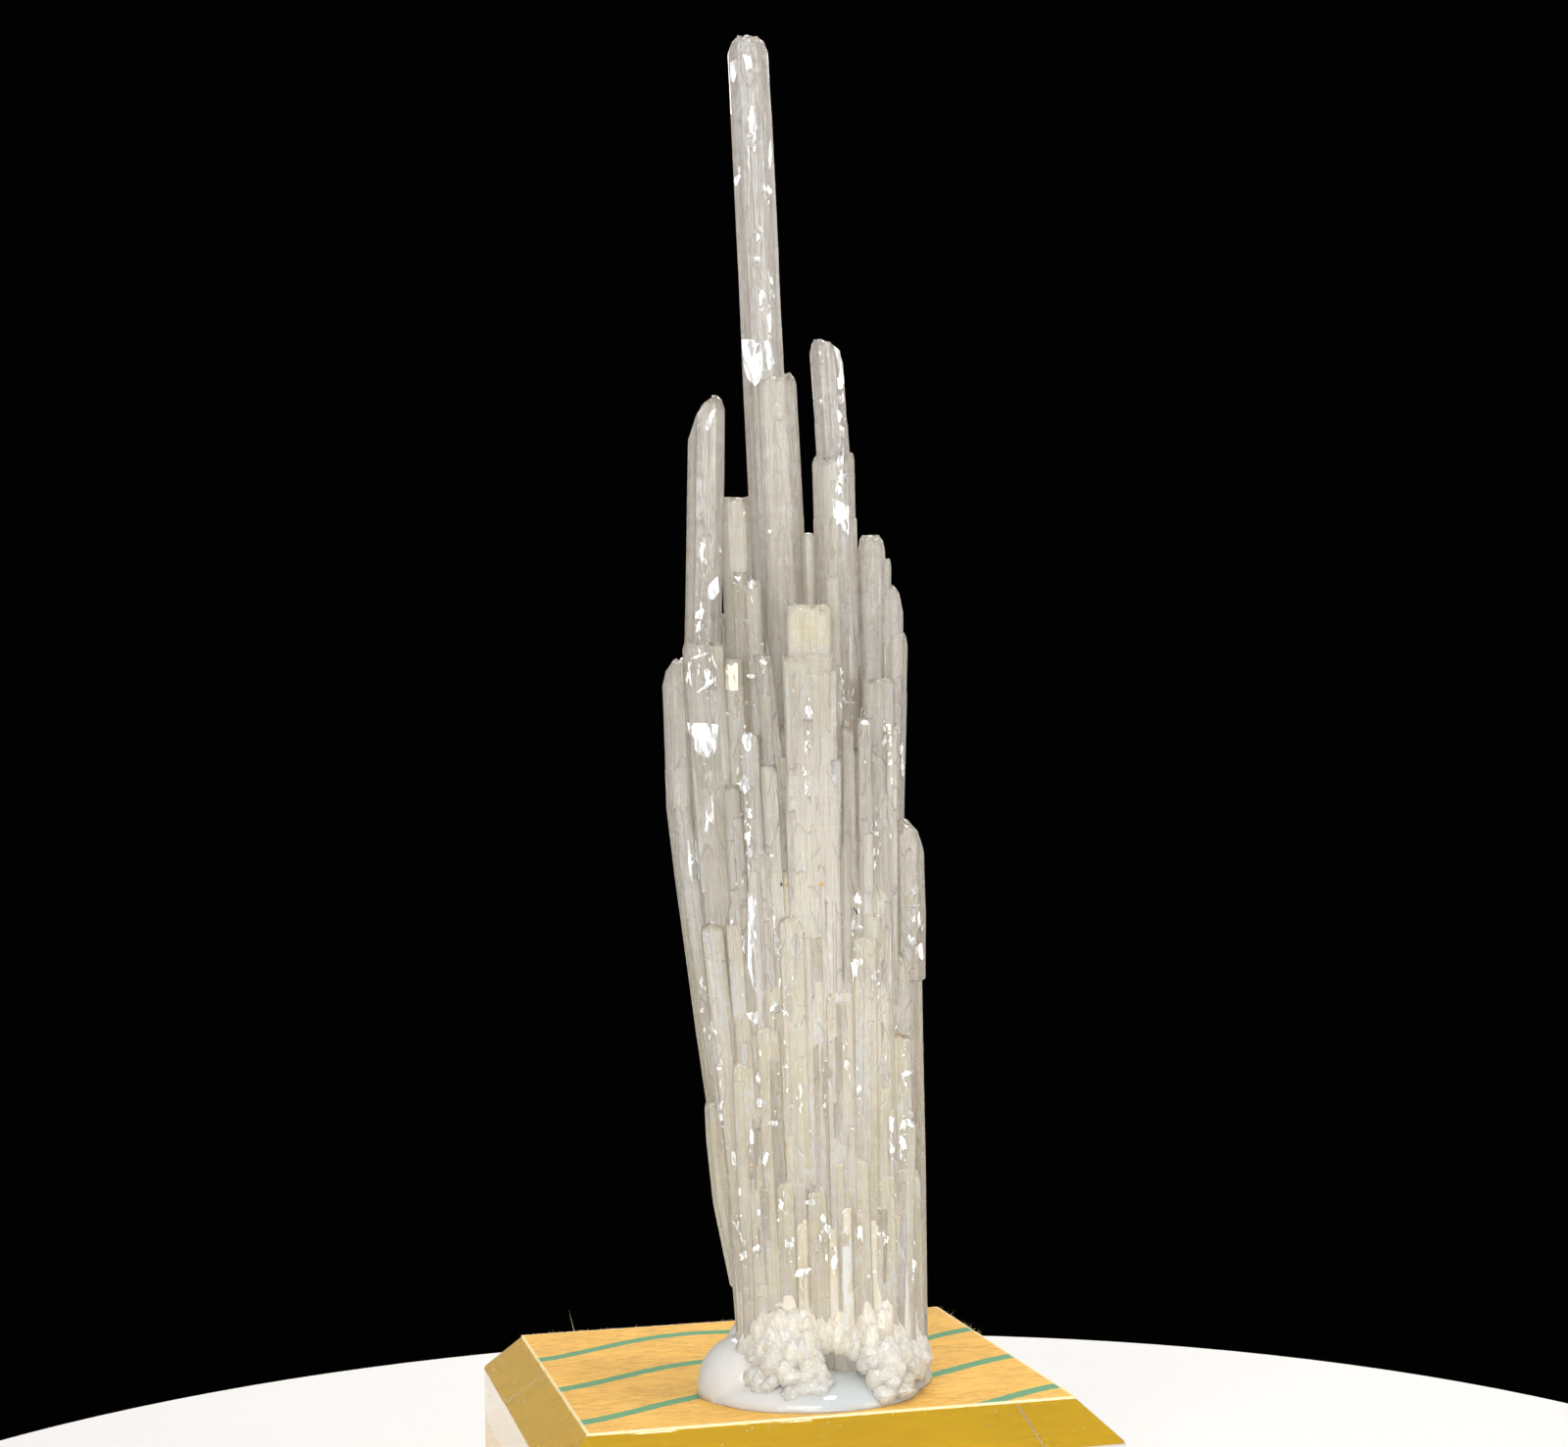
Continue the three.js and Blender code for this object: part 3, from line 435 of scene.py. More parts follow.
# Soft lights: place, aim and size in metres, power in watts, and tint.
AIM = (0, -0.005, 0.075)
LIGHTS = {
    "key": ((-0.16, -0.38, 0.26), AIM, (0.26, 0.26), 1.2, (1.0, 0.985, 0.965)),
    "low": ((-0.04, -0.46, 0.05), (0, 0, 0.02), (0.30, 0.10), 0.5, (1.0, 0.98, 0.95)),
    "fill": ((0.34, -0.26, 0.14), AIM, (0.24, 0.30), 0.7, (1.0, 0.97, 0.95)),
    "strip": ((-0.34, -0.34, 0.08), AIM, (0.05, 0.34), 0.35, (1.0, 0.98, 0.95)),
    "spark": ((0.06, -0.02, 0.42), (0, -0.01, 0), (0.12, 0.045), 0.4, (1.0, 0.98, 0.95)),
    "rim": ((0.10, 0.36, 0.30), AIM, (0.25, 0.18), 0.7, (0.97, 0.98, 1.0)),
}


# ---- settings ----

def length(name, description, default):
    return bpy.props.FloatProperty(
        name=name, description=description, default=default, min=0.0, max=1.0,
        subtype="DISTANCE", unit="LENGTH", precision=5)


def count(name, description, default, low, high):
    return bpy.props.IntProperty(
        name=name, description=description, default=default, min=low, max=high)


def colour(name, description, default):
    return bpy.props.FloatVectorProperty(
        name=name, description=description, default=default, size=3, min=0.0, max=1.0,
        subtype="COLOR")


class CrystalSettings(bpy.types.PropertyGroup):
    strip_width: length("Strip width", "Usual width of one lengthwise strip of a blade", 0.00040)
    relief: length("Relief", "How far strips step in from the blade's outline", 0.00024)
    ledge_spacing: length("Ledge spacing", "Usual distance between a blade's ledges", 0.008)
    cool: colour("Cool tint", "Grey side of the crystal's colour", (0.625, 0.58, 0.52))
    warm: colour("Warm tint", "Cream side of the crystal's colour", (0.99, 0.885, 0.60))
    laths: count("Laths", "Thin laths tried on the front and on the back", 90, 0, 200)
    lumps: count("Foot lumps", "Rough lumps along each ridge of the foot", 18, 1, 30)
    seed: count("Seed", "Draws another set of strips", 7, 0, 1000)


class FleckSettings(bpy.types.PropertyGroup):
    lift: length("Lift", "How far a cleavage face stands off the blades", 0.00008)
    scattered: count("Scattered", "Small flecks tried on the front and on the back", 80, 0, 400)
    seed: count("Seed", "Draws another set of flecks", 5, 0, 1000)


class GlueSettings(bpy.types.PropertyGroup):
    tint: colour("Tint", "Colour of the glue", (0.99, 0.985, 0.96))


class PaperSettings(bpy.types.PropertyGroup):
    kraft: colour("Kraft", "Colour of the masking paper", (0.81, 0.455, 0.095))
    fibres: count("Loose fibres", "Fibres along the four cut edges", 420, 4, 1200)
    ink: colour("Stripe", "Colour of the printed stripes", (0.08, 0.30, 0.16))
    lower: colour("Lower sheet", "Colour of the sheet under the block", (1.0, 0.66, 0.0))


class BlockSettings(bpy.types.PropertyGroup):
    tint: colour("Tint", "Colour that the acrylic takes with depth", (0.93, 0.92, 0.95))
    arris: length("Arris", "Width of the polished edges", 0.00018)


class StageSettings(bpy.types.PropertyGroup):
    floor_radius: length("Floor radius", "Radius of the round floor", 0.11)
    floor_colour: colour("Floor", "Colour of the floor", (0.80, 0.79, 0.77))


# ---- meshes ----

def to_row(points):
    """Cluster millimetres to metres of the row: scaled, turned about the vertical, moved."""
    points = np.asarray(points, float)
    turn = math.radians(CLUSTER_TURN)
    across, depth, height = points[..., 0], points[..., 1], points[..., 2]
    x = CLUSTER_PLACE[0] + across * math.cos(turn) - depth * math.sin(turn)
    y = CLUSTER_PLACE[1] + across * math.sin(turn) + depth * math.cos(turn)
    return np.stack([x, y, CLUSTER_PLACE[2] + height], -1) * MM


def put_mesh(name, points, faces, smooth=False):
    mesh = bpy.data.meshes.new(name)
    mesh.from_pydata(np.asarray(points).reshape(-1, 3).tolist(), [], faces)
    mesh.update()
    if smooth:
        mesh.shade_smooth()
    return mesh


def put_piece(name, mesh, slot, *materials):
    piece = bpy.data.objects.new(name, mesh)
    bpy.context.scene.collection.objects.link(piece)
    for material in materials:
        mesh.materials.append(material)
    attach(piece, BODY)
    return piece


def grid_faces(rows, columns, wrap=True, inward=False):
    """Quads of a grid of rows by columns, closed round each row when wrap is set."""
    row, column = np.meshgrid(np.arange(rows - 1), np.arange(columns if wrap else columns - 1),
                              indexing="ij")
    after = (column + 1) % columns
    low, high = row * columns, (row + 1) * columns
    quads = np.stack([high + column, high + after, low + after, low + column], -1)
    quads = quads.reshape(-1, 4)
    return (quads[:, ::-1] if inward else quads).tolist()


def fan_faces(ring, middle, flip):
    """Triangles from each edge of a ring to its middle point."""
    after = np.roll(ring, -1)
    middle = np.full(len(ring), middle)
    order = [after, ring, middle] if flip else [ring, after, middle]
    return np.stack(order, -1).tolist()


def closed_faces(rows, columns, inward=False):
    """Faces of a closed skin: its grid, then a fan from its first row and one from its last, to
    two middle points that follow the grid's. Rows that run upward outside are inward ones."""
    total = rows * columns
    return (grid_faces(rows, columns, inward=inward)
            + fan_faces(np.arange(columns), total, inward)
            + fan_faces(np.arange(columns) + total - columns, total + 1, not inward))


def squareness(finish, depth):
    """How square a blade's section is: only sound blades in front are squarer."""
    return 0.0 if finish in ("clear", "druse") or depth > FRONT_DEPTH else SQUARE_FRONT


def side_shares(square):
    """Shares of the half width and of the half thickness that a section's flat sides take."""
    return [share + (1 - share) * square for share in (FACE_SHARE, EDGE_SHARE)]


def striated_section(half, strip_width, square, rng):
    """Strips round an eight-sided section. Each side is parted at uneven places, and every strip
    gives its two end points, the side's outward normal, its number, the way round in mm, and the
    tilt, which moves its two ends in and out."""
    face, edge = half * side_shares(square)
    corners = np.array([
        (-face, -half[1]), (face, -half[1]), (half[0], -edge), (half[0], edge),
        (face, half[1]), (-face, half[1]), (-half[0], edge), (-half[0], -edge)])
    parts = []
    strips, way = 0, 0.0
    for start, end in zip(corners, np.roll(corners, -1, 0)):
        run = np.linalg.norm(end - start)
        number = max(1, round(run / strip_width))
        marks = np.linspace(0, 1, number + 1)
        marks[1:-1] += rng.uniform(-STRIP_UNEVEN, STRIP_UNEVEN, number - 1) / number
        shares = np.stack([marks[:-1], marks[1:]], -1).ravel()
        groove = STRIP_GROOVE / run
        shares = shares + np.tile([groove, -groove], number)
        lean = rng.normal(0, STRIP_TILT, number)
        parts.append((
            start + shares[:, None] * (end - start),
            np.tile([(end - start)[1], -(end - start)[0]], (2 * number, 1)) / run,
            strips + np.arange(number).repeat(2),
            way + shares * run,
            (lean * np.diff(marks) * run).repeat(2) * np.tile([-0.5, 0.5], number)))
        strips += number
        way += run
    return [np.concatenate(part) for part in zip(*parts)], strips, way


def tip_shape(section, half, strip, strips, rng):
    """The tip's notches and dip: how far each point's strip is notched, the dip of the tip to
    its front or back, and how far each point comes down with it."""
    notches = np.where(rng.random(strips) < NOTCH_CHANCE, rng.uniform(*NOTCH_DEPTH, strips), 0.0)
    notches = notches + FINE_NOTCH * rng.random(strips)
    notches *= min(1.0, half.min() / THIN_BLADE)
    dip = rng.uniform(*TIP_DIP) * min(1.0, half[1])
    return notches[strip], dip, abs(dip) * (1 - np.sign(dip) * section[:, 1] / half[1]) / 2


def strip_depths(strips, ledges, relief, rng):
    """Depth of every strip over and under each ledge. The first depths drift from strip to
    strip, and at a ledge some strips step in or out."""
    drift = np.convolve(rng.random(strips + 4), np.ones(5) / 5, "valid")
    depths = [relief * (0.35 * drift + 0.65 * rng.random(strips))]
    for _ in range(ledges):
        changed = rng.random(strips) < STEP_CHANCE
        depths.append(np.where(changed, relief * rng.random(strips) * rng.random(), depths[-1]))
    return np.array(depths)


def blade_pattern(around, levels, rng):
    """Pattern coordinates of each face's corners in mm: the way round and the height, with the
    seam's quads carried on and the fans' middles half a millimetre past the last rows."""
    row, column = np.meshgrid(np.arange(len(levels) - 1), np.arange(len(around) - 1),
                              indexing="ij")
    u = around[np.stack([column, column + 1, column + 1, column], -1)]
    v = levels[np.stack([row + 1, row + 1, row, row], -1)]
    parts = [np.stack([u, v], -1)]
    edges = np.stack([around[:-1], around[1:], (around[:-1] + around[1:]) / 2], -1)
    for order, level, past in (([0, 1, 2], levels[0], 0.5), ([1, 0, 2], levels[-1], -0.5)):
        v = np.broadcast_to([level, level, level + past], edges.shape)
        parts.append(np.stack([edges[:, order], v], -1))
    start = rng.uniform(0, PATTERN_SPREAD, 2)
    return np.concatenate([part.reshape(-1, 2) for part in parts]) + start


def blade_arrays(blade, settings, rng):
    """Closed skin of one striated blade. Rows run down from the tip and columns run round the
    section; a point is the middle line at its height plus the section's point, moved in along
    the side's normal by the depth of its strip. Depths change only at doubled rows, the ledges.
    The tip's rows hang below slanted planes and a small notch for each strip."""
    path, size, drop, finish, warmth = blade
    path = np.array(path, float)
    half = np.array(size) / 2
    tip, foot = path[0], path[-1]
    (section, normal, strip, way, tilt), strips, perimeter = striated_section(
        half, settings.strip_width / MM, squareness(finish, tip[1]), rng)
    buried = foot[2] <= BURIED_BELOW
    end = max(FOOT_LEVEL, foot[2] - FOOT_RUN) if buried else foot[2]
    span = tip[2] - end
    slants = np.where(section[:, 0] < 0, drop[0], drop[1])
    share = np.abs(section[:, 0]) / half[0]
    notch, dip, dips = tip_shape(section, half, strip, strips, rng)
    fall = slants * share + SHOULDER_SHARE * size[1] + notch + dips
    fall *= min(1.0, 0.3 * span / fall.max())
    reach = min(fall.max() * 1.6 + 1.2, 0.5 * span)

    ledges = max(1, round(span / (settings.ledge_spacing / MM)))
    marks = np.sort(rng.uniform(reach / span + 0.02, 0.97, ledges)) * span
    plain = np.linspace(reach, span, max(2, round(span / 14)))
    downs = np.sort(np.concatenate([[0, 0.4 * reach], plain, marks - LEDGE_HALF,
                                    marks + LEDGE_HALF]))
    relief = min(settings.relief / MM, 0.2 * half.min())
    depths = strip_depths(strips, ledges, relief, rng)
    inward = np.maximum(depths[np.searchsorted(marks, downs)][:, strip] + tilt, 0)

    lift = np.clip(1 - downs / reach, 0, 1)[:, None]
    height = np.maximum(tip[2] - downs[:, None] - fall * lift, end)
    flow = path[::-1]
    middle = np.stack([np.interp(height, flow[:, 2], flow[:, k]) for k in (0, 1)], -1)
    phase = rng.uniform(0, 2 * math.pi, 2)
    sway = SWAY * np.sin(height[..., None] * np.array(SWAY_TURN) + phase)
    body = section[None] * (1 - SWELL * (1 + np.sin(height[..., None] * SWELL_TURN + phase)))
    flat = middle + sway + body - normal[None] * inward[..., None]
    rows = np.concatenate([flat, height[..., None]], -1)

    # the tip's flat, a rougher ring inside it, and its middle
    shares = np.maximum(TIP_LEAST_SHARE, TIP_WIDTH_SHARE - TIP_LOSS_PER_MM * np.array(drop))
    left, right = -half[0] * shares[0], half[0] * shares[1]
    top = np.stack([np.clip(section[:, 0], left, right), section[:, 1] * TIP_FACE_SHARE,
                    -TIP_SLANT_SHARE * slants - notch - 0.8 * dips], -1) + tip
    bulge = 0.35 * top + 0.65 * rows[0]
    bulge[:, 2] = 0.64 * top[:, 2] + 0.36 * rows[0][:, 2]
    core = np.array([(left + right) / 2, 0, -0.05 - 0.4 * abs(dip)]) + tip
    inner = core + (top - core) * 0.5
    inner[:, 2] -= 0.12 * half.min() * rng.random(strips)[strip]
    # the foot closes inside the bundle or the glue
    low = rows[-1].copy()
    low[:, :2] = middle[-1] + (low[:, :2] - middle[-1]) * FOOT_TAPER
    low[:, 2] -= 0.0 if buried else FOOT_CLOSE
    base = np.append(middle[-1].mean(0), low[:, 2].min())

    points = np.concatenate([inner[None], top[None], bulge[None], rows, low[None]])
    points = np.concatenate([points.reshape(-1, 3), [core, base]])
    levels = np.concatenate([tip[2] + np.array(TIP_LEVELS), tip[2] - downs, [end - 0.5]])
    uv = blade_pattern(np.append(way, way[0] + perimeter), levels, rng)
    return (points, closed_faces(len(levels), len(section)), uv, FINISHES.index(finish),
            warm_ends(points[:, 2], tip[2], warmth))


def warm_ends(height, top, warmth):
    """Warmth at each height: the blade's own, creamier toward the cluster's foot and in the last
    two millimetres of the tip."""
    foot = np.interp(height, *FOOT_WARMTH)
    end = np.interp(height, [top - down for down in WARM_TIP],
                    [0, TIP_WARMTH if top < SPIRE_TOP else SPIRE_WARMTH])
    return np.clip(warmth + foot + end, 0, 1)


def lump_arrays(centre, half, warmth, rng):
    """Closed rough lump: an ellipsoid whose points move in by up to a quarter."""
    rows, columns = LUMP_GRID
    turn = np.linspace(0, 2 * math.pi, columns, endpoint=False)[None, :]
    fall = np.linspace(0, math.pi, rows + 2)[1:-1, None]
    way = np.stack(np.broadcast_arrays(np.sin(fall) * np.cos(turn), np.sin(fall) * np.sin(turn),
                                       np.cos(fall)), -1)
    rings = way * rng.uniform(LUMP_ROUGH, 1.0, (rows, columns, 1)) * half + centre
    ends = np.array([[0, 0, 0.9], [0, 0, -0.9]]) * half + centre
    points = np.concatenate([rings.reshape(-1, 3), ends])
    faces = closed_faces(rows, columns)
    loops = np.concatenate([np.ravel(face) for face in faces]).astype(int)
    spread = np.stack([points[:, 0] + points[:, 1], points[:, 2]], -1)
    uv = spread[loops] + rng.uniform(0, PATTERN_SPREAD, 2)
    return points, faces, uv, FINISHES.index("druse"), np.full(len(points), warmth)


def foot_lumps(number, rng):
    """Lumps along and between neighbouring ridges of the foot, flatter near the glue, cream in
    the middle of the front and white elsewhere."""
    ends = np.array(FOOT_RIDGES, float)
    share = np.where(np.arange(number) % 3, rng.random((len(ends), number)), 0)[..., None]
    share[RUN_ENDS] = 0
    fall = np.linspace(0, 1, number)[None, :, None] + rng.uniform(-0.05, 0.05, share.shape)
    line = ends[:, None, 0] * (1 - fall) + ends[:, None, 1] * fall
    centres = (line * (1 - share) + np.roll(line, -1, 0) * share).reshape(-1, 3)
    halves = rng.uniform(*LUMP_HALVES, (len(centres), 3))
    halves[:, 2] *= np.interp(centres[:, 2], *LUMP_FLATTEN)
    centres[:, 2] += 0.25 * halves[:, 2]
    draw = np.interp(centres[:, 2], *LUMP_DRAW)[:, None]
    centres[:, :2] = FOOT_MIDDLE + (centres[:, :2] - FOOT_MIDDLE) * draw
    creamy = np.abs(centres[:, 0] - FOOT_MIDDLE[0]) < CREAM_HALF
    creamy &= (centres[:, 1] < 0) & (centres[:, 2] > CREAM_FROM)
    warmth = np.where(creamy, 0.95, 0.5) + rng.uniform(-0.2, 0.05, len(centres))
    return [lump_arrays(*lump, rng) for lump in zip(centres, halves, warmth)]


def skin_depth(across, height, side):
    """Depth of the blades' skin on the front or back, for places given across and up. Of all
    blades there, the outermost counts. Not a number off the blades."""
    far = np.full(np.shape(across), np.nan)
    for path, size, drop, finish, _ in BLADES:
        flow = np.array(path[::-1], float)
        half = np.array(size) / 2
        face, edge = side_shares(squareness(finish, flow[-1, 1]))
        middle = [np.interp(height, flow[:, 2], flow[:, k]) for k in (0, 1)]
        share = np.abs(across - middle[0]) / half[0]
        profile = np.interp(share, [0, face, 1], [1, 1, edge])
        top = flow[-1, 2] - SHOULDER_SHARE * size[1] - 0.5 * max(drop)
        inside = (share < 0.95) & (height < top) & (height > flow[0, 2])
        far = np.fmax(far, np.where(inside, side * middle[1] + half[1] * profile, np.nan))
    return side * far


def grown_laths(number, rng):
    """Thin laths grown onto the front and the back, leaning in toward the foot with the bundle.
    A lath is kept where its face stands out of the blades' skin and its back is under it."""
    rows = []
    for side in (FRONT, BACK):
        across = rng.uniform(*LATH_ACROSS, number)
        top = rng.uniform(*LATH_TOP, number)
        foot = np.maximum(top - rng.uniform(*LATH_LENGTH, number), LATH_FOOT)
        low = across - (across - FOOT_MIDDLE[0]) * LATH_LEAN * (top - foot)
        size = rng.uniform(*LATH_SIZES, (number, 2))
        share = np.linspace(0.02, 1, 6)[:, None]
        skin = side * skin_depth(across + (low - across) * share, top + (foot - top) * share,
                                 side)
        rise = rng.uniform(0.0, LATH_RISE, number)
        face = np.linspace(skin[0] + rise, skin[-1] - LATH_SINK, 6)
        sound = (face - size[:, 1] < skin - LATH_COVER) & (face > skin - 2 * LATH_SINK)
        sound &= np.abs(skin[0] - skin[-1]) < LATH_SLOPE
        for i in np.nonzero(sound.all(0))[0]:
            middle = side * (face[[0, -1], i] - size[i, 1] / 2)
            finish = ("silky", "milky")[rng.integers(2)]
            rows.append(([(across[i], middle[0], top[i]), (low[i], middle[1], foot[i])],
                         tuple(size[i]), tuple(rng.uniform(0.0, 0.3, 2)), finish,
                         rng.uniform(0.3, 0.6)))
    return rows


def even_outline(corners, number):
    """Points evenly spaced along a closed outline, anticlockwise."""
    closed = np.array(corners + corners[:1], float)
    area = (closed[:-1, 0] * closed[1:, 1] - closed[1:, 0] * closed[:-1, 1]).sum()
    closed = closed if area > 0 else closed[::-1]
    run = np.append(0, np.cumsum(np.linalg.norm(np.diff(closed, axis=0), axis=1)))
    at = np.linspace(0, run[-1], number, endpoint=False)
    return np.stack([np.interp(at, run, closed[:, 0]), np.interp(at, run, closed[:, 1])], -1)


def ragged_outlines(spots, number, rng):
    """Ellipses with uneven rims from rows of (across, height, half width, half height, lean)."""
    turn = np.linspace(0, 2 * math.pi, number, endpoint=False)
    radius = rng.uniform(*FLECK_RAGGED, (len(spots), number))
    x = spots[:, 2:3] * radius * np.cos(turn)
    y = spots[:, 3:4] * radius * np.sin(turn)
    lean = np.radians(spots[:, 4:5])
    return np.stack([spots[:, 0:1] + x * np.cos(lean) + y * np.sin(lean),
                     spots[:, 1:2] - x * np.sin(lean) + y * np.cos(lean)], -1)


def plates_on_skin(outlines, side, lift, rng, whole):
    """Thin closed plates that follow the blades' skin: a ring lifted off it and uneven, the rim
    on it, and a ring inside it. Plates whose middle is off the blades are left out, and with
    whole the ones whose rim is."""
    outlines = outlines[:, ::-1] if side > 0 else outlines
    middle = outlines.mean(1, keepdims=True)
    depth = skin_depth(middle[..., 0], middle[..., 1], side)
    kept = ~np.isnan(depth[:, 0])
    if whole:
        kept &= ~np.isnan(skin_depth(outlines[..., 0], outlines[..., 1], side)).any(1)
    outlines, middle, depth = outlines[kept], middle[kept], depth[kept]
    number, columns = outlines.shape[:2]
    rings, outs = [], []
    for shrink, rise, rough in PLATE_RINGS:
        ring = middle + (outlines - middle) * shrink
        out = skin_depth(ring[..., 0], ring[..., 1], side)
        out = np.where(np.isnan(out), depth,
                       np.clip(out, depth - PLATE_FOLLOW, depth + PLATE_FOLLOW))
        out = out - side * FLECK_SINK
        rings.append(ring)
        outs.append(out + side * lift * (rise + rough * rng.uniform(-1, 1, out.shape)))
    depth = depth - side * FLECK_SINK
    outs += [depth + side * lift * rise for rise in PLATE_MIDDLES]
    flat = np.concatenate([*rings, middle, middle], 1)
    points = np.stack([flat[..., 0], np.concatenate(outs, 1), flat[..., 1]], -1)
    faces = closed_faces(3, columns)
    start = (np.arange(number) * points.shape[1])[:, None, None]
    return (points.reshape(-1, 3), start + np.array(faces[:2 * columns]),
            start + np.array(faces[2 * columns:]), kept)


def blade_object(number, arrays, materials):
    points, faces, uv, finish, warmth = arrays
    mesh = put_mesh(f"blade_{number}", points, faces)
    layer = mesh.uv_layers.new(name="grain")
    layer.data.foreach_set("uv", uv.astype(np.float32).ravel())
    warm = mesh.attributes.new("warmth", "FLOAT", "POINT")
    warm.data.foreach_set("value", np.asarray(warmth, np.float32))
    for material in materials:
        mesh.materials.append(material)
    mesh.polygons.foreach_set("material_index", np.full(len(faces), finish, np.int32))
    return bpy.data.objects.new(mesh.name, mesh)


def joined_skin(objects, name):
    """Boolean union of closed objects, evaluated to one mesh; the objects are deleted."""
    holder = bpy.data.collections.new("joining")
    bpy.context.scene.collection.children.link(holder)
    for piece in objects[1:]:
        holder.objects.link(piece)
    bpy.context.scene.collection.objects.link(objects[0])
    union = objects[0].modifiers.new("union", "BOOLEAN")
    union.operation = "UNION"
    union.operand_type = "COLLECTION"
    union.collection = holder
    union.solver = "MANIFOLD"
    graph = bpy.context.evaluated_depsgraph_get()
    mesh = bpy.data.meshes.new_from_object(objects[0].evaluated_get(graph))
    mesh.name = name
    for piece in objects:
        old = piece.data
        bpy.data.objects.remove(piece)
        bpy.data.meshes.remove(old)
    bpy.data.collections.remove(holder)
    return mesh


def keep_outer_skin(mesh):
    """Deletes every shell but the widest. Shells are found by passing the lowest vertex number
    along the edges until nothing changes."""
    edges = np.zeros(len(mesh.edges) * 2, np.int32)
    mesh.edges.foreach_get("vertices", edges)
    first, second = edges.reshape(-1, 2).T
    label = np.arange(len(mesh.vertices))
    while True:
        lowest = np.minimum(label[first], label[second])
        fresh = label.copy()
        np.minimum.at(fresh, first, lowest)
        np.minimum.at(fresh, second, lowest)
        fresh = fresh[fresh]
        if np.array_equal(fresh, label):
            break
        label = fresh
    loose = np.nonzero(label != np.bincount(label).argmax())[0]
    work = bmesh.new()
    work.from_mesh(mesh)
    work.verts.ensure_lookup_table()
    bmesh.ops.delete(work, geom=[work.verts[i] for i in loose], context="VERTS")
    work.to_mesh(mesh)
    work.free()


# ---- material nodes ----

def rgba(tint, share=1.0, most=math.inf):
    """A colour times a share, with each channel held under most."""
    return (*[min(most, share * channel) for channel in tint], 1)


class Nodes:
    """Short ways to add and join the nodes of one tree."""

    def __init__(self, tree):
        self.tree = tree

    def add(self, kind, inputs=None, **values):
        node = self.tree.nodes.new(kind)
        for key, value in values.items():
            setattr(node, key, value)
        for key, value in (inputs or {}).items():
            if isinstance(value, bpy.types.NodeSocket):
                self.tree.links.new(value, node.inputs[key])
            else:
                node.inputs[key].default_value = value
        return node

    def math(self, operation, *values):
        node = self.add("ShaderNodeMath", dict(enumerate(values)), operation=operation)
        return node.outputs[0]

    def weighted(self, *terms):
        """Sum of values, each times its own share."""
        total = 0.0
        for value, share in terms:
            total = self.math("MULTIPLY_ADD", value, share, total)
        return total

    def from_middle(self, value):
        """How far a value's fraction lies from a half: stripes with no jump between them."""
        return self.math("ABSOLUTE", self.math("SUBTRACT", self.math("FRACT", value), 0.5))

    def place(self):
        return self.add("ShaderNodeTexCoord").outputs["Object"]

    def apart(self, vector):
        return self.add("ShaderNodeSeparateXYZ", {0: vector}).outputs

    def noise(self, vector, scale, detail=3.0, rough=0.55):
        """Noise at one scale, or at its own scale along each axis."""
        if not isinstance(scale, (int, float)):
            vector = self.add("ShaderNodeMapping", {"Vector": vector, "Scale": scale}).outputs[0]
            scale = 1.0
        return self.add("ShaderNodeTexNoise", {
            "Vector": vector, "Scale": scale, "Detail": detail, "Roughness": rough}).outputs["Fac"]

    def band(self, value, low, high, out_low=0.0, out_high=1.0):
        return self.add("ShaderNodeMapRange", {
            "Value": value, "From Min": low, "From Max": high,
            "To Min": out_low, "To Max": out_high}, interpolation_type="SMOOTHSTEP").outputs[0]

    def mix(self, share, first, second):
        return self.add("ShaderNodeMix", {"Factor": share, 6: first, 7: second},
                        data_type="RGBA").outputs[2]

    def bump(self, height, strength, distance):
        return self.add("ShaderNodeBump", {
            "Strength": strength, "Distance": distance, "Height": height}).outputs[0]

    def surface(self, base, values, absorbed=None, density=0.0):
        """Joins a Principled shader to a material's output, over absorption where it is given."""
        output = self.add("ShaderNodeOutputMaterial")
        shader = self.add("ShaderNodeBsdfPrincipled", {"Base Color": base, **values})
        self.tree.links.new(shader.outputs[0], output.inputs["Surface"])
        if absorbed:
            volume = self.add("ShaderNodeVolumeAbsorption", {
                "Color": absorbed, "Density": density})
            self.tree.links.new(volume.outputs[0], output.inputs["Volume"])


def new_group(name, inputs, outputs):
    tree = bpy.data.node_groups.new(name, "ShaderNodeTree")
    for label, kind, value in inputs:
        socket = tree.interface.new_socket(label, in_out="INPUT", socket_type="NodeSocket" + kind)
        if value is not None:
            socket.default_value = value
    for label in outputs:
        tree.interface.new_socket(label, in_out="OUTPUT", socket_type="NodeSocketFloat")
    nodes = Nodes(tree)
    return nodes, nodes.add("NodeGroupInput").outputs, nodes.add("NodeGroupOutput")


